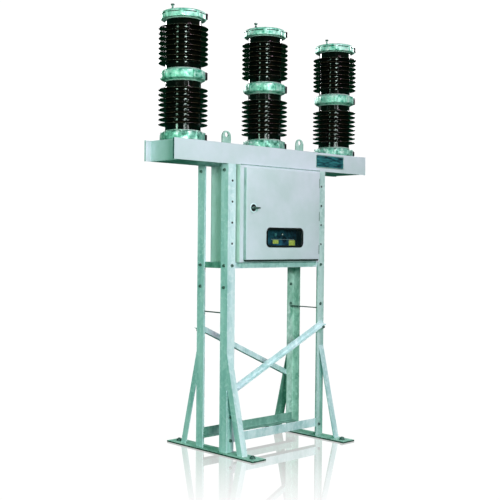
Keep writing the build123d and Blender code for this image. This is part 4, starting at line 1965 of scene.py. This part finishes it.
@dataclass
class DialPanel:
    """Panel behind the window, with its dial, position lamp, tape line and two bare labels."""

    dial: tuple[float, float] = (-17.0, 1718.0)
    dial_radius: float = 12.5
    lamp: tuple[float, float] = (66.0, 1721.0)
    ring_radius: float = 13.0
    ring_depth: float = 5.0
    ring_lip: tuple[float, float] = (1.2, 1.0)
    ring_wall: float = 1.6
    ring_well: tuple[float, float] = (0.3, -2.0)
    lens_radius: float = 6.5
    lens_depth: float = 6.0
    lens_foot: float = 1.5
    lens_round: float = 3.0
    dial_depth: float = 1.2
    dial_dish: Sequence[tuple[float, float]] = ((1.5, 0.0), (2.0, -0.5))
    labels: Sequence[Patch] = ((-41.0, 1645.0, 25.0, 1676.0), (148.0, 1625.0, 221.0, 1674.0))
    line: Patch = (-62.0, 1679.0, 212.0, 1682.0)
    film: float = 0.6
    sheet: float = 3.0

    def sticker(self, name: str, corners: Patch, front: float, round_off: float) -> Piece:
        """Lay a thin film with rounded corners on the panel.

        Args:
            name: Name of the film.
            corners: Left, foot, right and top of the film.
            front: Place of the panel's face along Y.
            round_off: Radius of the corners.

        Returns:
            The film.
        """
        left, foot, right, top = corners
        film = slab(name, metres(left, front - self.film, foot), metres(right, front, top))
        return softened(film, round_off, 3, along(FORWARD))

    def lamp_ring(self, front: float) -> Piece:
        """Mould the dark ring that holds the lamp.

        Args:
            front: Place of the panel's face along Y.

        Returns:
            The ring.
        """
        x, z = self.lamp
        place = metres(x, front - self.ring_depth / 2, z)
        ring = rod("lamp_ring", place, self.ring_radius, self.ring_depth, FORWARD)
        seat = self.ring_radius - self.lens_radius - self.ring_wall
        sunk(ring, towards(FORWARD), self.ring_lip, (seat, 0.0), self.ring_well)
        return fit(smooth(ring, 30), BLACK_MOULDING, Rider.FRAME)

    def lamp_lens(self, front: float) -> Piece:
        """Mould the domed lens of the lamp.

        Args:
            front: Place of the panel's face along Y.

        Returns:
            The lens.
        """
        x, z = self.lamp
        place = metres(x, front - self.lens_foot - self.lens_depth / 2, z)
        lens = rod("lamp_lens", place, self.lens_radius, self.lens_depth, FORWARD, 24)
        softened(lens, self.lens_round, 4, faces=towards(FORWARD))
        return fit(smooth(lens, 40), LAMP_LENS, Rider.FRAME)

    def dial_face(self) -> Piece:
        """Set the pale face of the dial on its boss, dished towards its middle.

        Returns:
            The face.
        """
        x, z = self.dial
        place = metres(x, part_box("dial_panel")[0].y / MM - self.dial_depth / 2, z)
        face = rod("dial_face", place, self.dial_radius, self.dial_depth, FORWARD)
        sunk(face, towards(FORWARD), *self.dial_dish)
        return fit(smooth(face, 30), DIAL_FACE, Rider.FRAME)

    def build(self) -> Iterator[Piece]:
        """Build the panel and what is on it.

        Yields:
            Its pieces.
        """
        yield dress(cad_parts["dial_panel"], DIAL_PAINT)
        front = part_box("dial_panel")[1].y / MM - self.sheet
        films = [self.sticker("label", corners, front, 3) for corners in self.labels]
        yield fit(joined("panel_labels", films), LABEL_VINYL, Rider.FRAME)
        yield fit(self.sticker("panel_tape", self.line, front, 1), PANEL_LINE, Rider.FRAME)
        yield from (self.lamp_ring(front), self.lamp_lens(front), self.dial_face())


# ---------------------------------------------------------------- studio


@dataclass
class Softbox:
    """Rectangular soft light aimed at the middle of the object."""

    name: str
    azimuth: float
    elevation: float
    distance: float
    width: float
    height: float
    power: float
    colour: Triple

    def hang(self, target: Vector) -> None:
        """Hang the light on its side of a target.

        Args:
            target: Point that it is aimed at, in metres.
        """
        lamp = bpy.data.lights.new(self.name, "AREA")
        lamp.shape = "RECTANGLE"
        lamp.size, lamp.size_y = self.width, self.height
        lamp.energy, lamp.color = self.power, self.colour
        holder = bpy.data.objects.new(self.name, lamp)
        bpy.context.scene.collection.objects.link(holder)
        turn, rise = math.radians(self.azimuth), math.radians(self.elevation)
        level = math.cos(rise)
        away = Vector((math.sin(turn) * level, -math.cos(turn) * level, math.sin(rise)))
        holder.location = target + away * self.distance
        holder.rotation_euler = (-away).to_track_quat("-Z", "Y").to_euler()


@dataclass
class Studio:
    """White floor, white surroundings, softboxes all round and the camera."""

    target: Triple = (0.0, 0.0, 1.8)
    camera_place: Triple = (-5.4769, -5.5256, 1.6694)
    pitch: float = -1.373
    heading: float = -43.96
    roll: float = 0.553
    lens: float = 67.67
    film_width: float = 36.0
    rise: float = 0.026
    white: Patch = (1.0, 1.0, 1.0, 1.0)
    ambient: Patch = (0.015, 0.22, 0.13, 1.0)
    backdrop: float = 1.05
    reflected: float = 0.35
    floor_half: float = 60.0
    floor_glow: float = 1.03
    floor_body: Patch = (0.01, 0.09, 0.05, 1.0)
    floor_polish: Patch = (0.96, 1.0, 0.98, 1.0)
    polish: float = 0.46
    polished: tuple[float, float] = (0.75, 2.1)
    softboxes: Sequence[Softbox] = (
        Softbox("key_softbox", -6.0, 40.0, 12.0, 2.4, 2.4, 800.0, (1.0, 0.61, 0.82)),
        Softbox("low_softbox", -30.0, 6.0, 8.0, 1.5, 0.8, 315.0, (0.77, 1.0, 0.9)),
        Softbox("front_strip", -14.7, 14.0, 6.5, 0.22, 0.9, 16.0, (0.95, 1.0, 1.0)),
        Softbox("camera_strip", -38.0, 13.0, 6.5, 0.22, 0.7, 13.0, (0.9, 1.0, 0.97)),
        Softbox("side_softbox", -80.0, 8.0, 6.0, 0.9, 1.0, 80.0, (0.58, 1.0, 0.76)),
        Softbox("right_back_softbox", 98.0, 26.0, 6.5, 1.2, 1.6, 220.0, (1.0, 0.94, 0.97)),
        Softbox("left_back_softbox", 174.0, 26.0, 6.5, 1.2, 1.6, 240.0, (1.0, 0.94, 0.97)),
    )

    def camera(self) -> None:
        """Set the camera."""
        view = bpy.data.cameras.new("studio_camera")
        view.sensor_width, view.lens, view.shift_y = self.film_width, self.lens, self.rise
        holder = bpy.data.objects.new("studio_camera", view)
        bpy.context.scene.collection.objects.link(holder)
        aim = Euler((math.radians(90 + self.pitch), 0, math.radians(self.heading))).to_matrix()
        aim = aim @ Matrix.Rotation(math.radians(self.roll), 3, "Z")
        holder.matrix_world = Matrix.Translation(self.camera_place) @ aim.to_4x4()
        bpy.context.scene.camera = holder

    def surroundings(self) -> None:
        """Make the studio white to look at, dim in what it sheds and dimmer in reflections."""
        world = bpy.data.worlds.new("studio")
        bpy.context.scene.world = world
        world.use_nodes = True
        tree = world.node_tree
        tree.nodes.clear()
        rays = add_node(tree, "ShaderNodeLightPath").outputs
        seen = add_node(
            tree,
            "ShaderNodeMath",
            {0: rays["Is Camera Ray"], 1: rays["Is Singular Ray"]},
            operation="MAXIMUM",
        ).outputs[0]
        dimmed = add_node(
            tree,
            "ShaderNodeMapRange",
            {"Value": rays["Is Glossy Ray"], "To Min": 1.0, "To Max": self.reflected},
        ).outputs[0]
        inputs = {"Color": self.ambient, "Strength": dimmed}
        shed = add_node(tree, "ShaderNodeBackground", inputs).outputs[0]
        inputs = {"Color": self.white, "Strength": self.backdrop}
        white = add_node(tree, "ShaderNodeBackground", inputs).outputs[0]
        either = add_node(tree, "ShaderNodeMixShader", {0: seen, 1: shed, 2: white})
        add_node(tree, "ShaderNodeOutputWorld", {"Surface": either.outputs[0]})

    def floor(self) -> Piece:
        """Lay the white floor, polished near the object and worn matt further off.

        Returns:
            The floor.
        """
        bpy.ops.object.select_all(action="DESELECT")
        bpy.ops.mesh.primitive_plane_add(size=2 * self.floor_half)
        floor = settled("studio_floor")
        material = bpy.data.materials.new("polished_white_floor")
        material.use_nodes = True
        tree = material.node_tree
        tree.nodes.clear()
        camera_ray = add_node(tree, "ShaderNodeLightPath").outputs["Is Camera Ray"]
        matt = add_node(tree, "ShaderNodeBsdfDiffuse", {"Color": self.floor_body}).outputs[0]
        inputs = {"Color": self.white, "Strength": self.floor_glow}
        glow = add_node(tree, "ShaderNodeEmission", inputs).outputs[0]
        inputs = {"Color": self.floor_polish, "Roughness": 0.0}
        gloss = add_node(tree, "ShaderNodeBsdfGlossy", inputs).outputs[0]
        place = add_node(tree, "ShaderNodeTexCoord").outputs["Object"]
        reach = add_node(tree, "ShaderNodeVectorMath", {0: place}, operation="LENGTH")
        near, far = self.polished
        inputs = {"Value": reach.outputs["Value"], "From Min": near, "From Max": far}
        inputs |= {"To Min": self.polish, "To Max": 0.0}
        shine = add_node(tree, "ShaderNodeMapRange", inputs).outputs[0]
        shown = add_node(tree, "ShaderNodeMixShader", {0: shine, 1: glow, 2: gloss}).outputs[0]
        either = add_node(tree, "ShaderNodeMixShader", {0: camera_ray, 1: matt, 2: shown})
        add_node(tree, "ShaderNodeOutputMaterial", {"Surface": either.outputs[0]})
        floor.data.materials.append(material)
        return floor

    def build(self) -> Iterator[Piece]:
        """Build the studio.

        Yields:
            Its floor.
        """
        self.camera()
        self.surroundings()
        for softbox in self.softboxes:
            softbox.hang(Vector(self.target))
        bpy.context.scene.view_settings.view_transform = "Standard"
        yield self.floor()


def main() -> None:
    """Build the studio and every sub-assembly in order."""
    logging.basicConfig(level=logging.INFO, format="%(name)s: %(message)s", stream=sys.stdout)
    for assembly in (Studio(), Stand(), Beam(), Poles(), Cabinet(), Door(), DialPanel()):
        title = type(assembly).__name__
        for piece in assembly.build():
            log.info("%s: %s, %d faces", title, piece.name, len(piece.data.polygons))


if __name__ == "__main__":
    main()
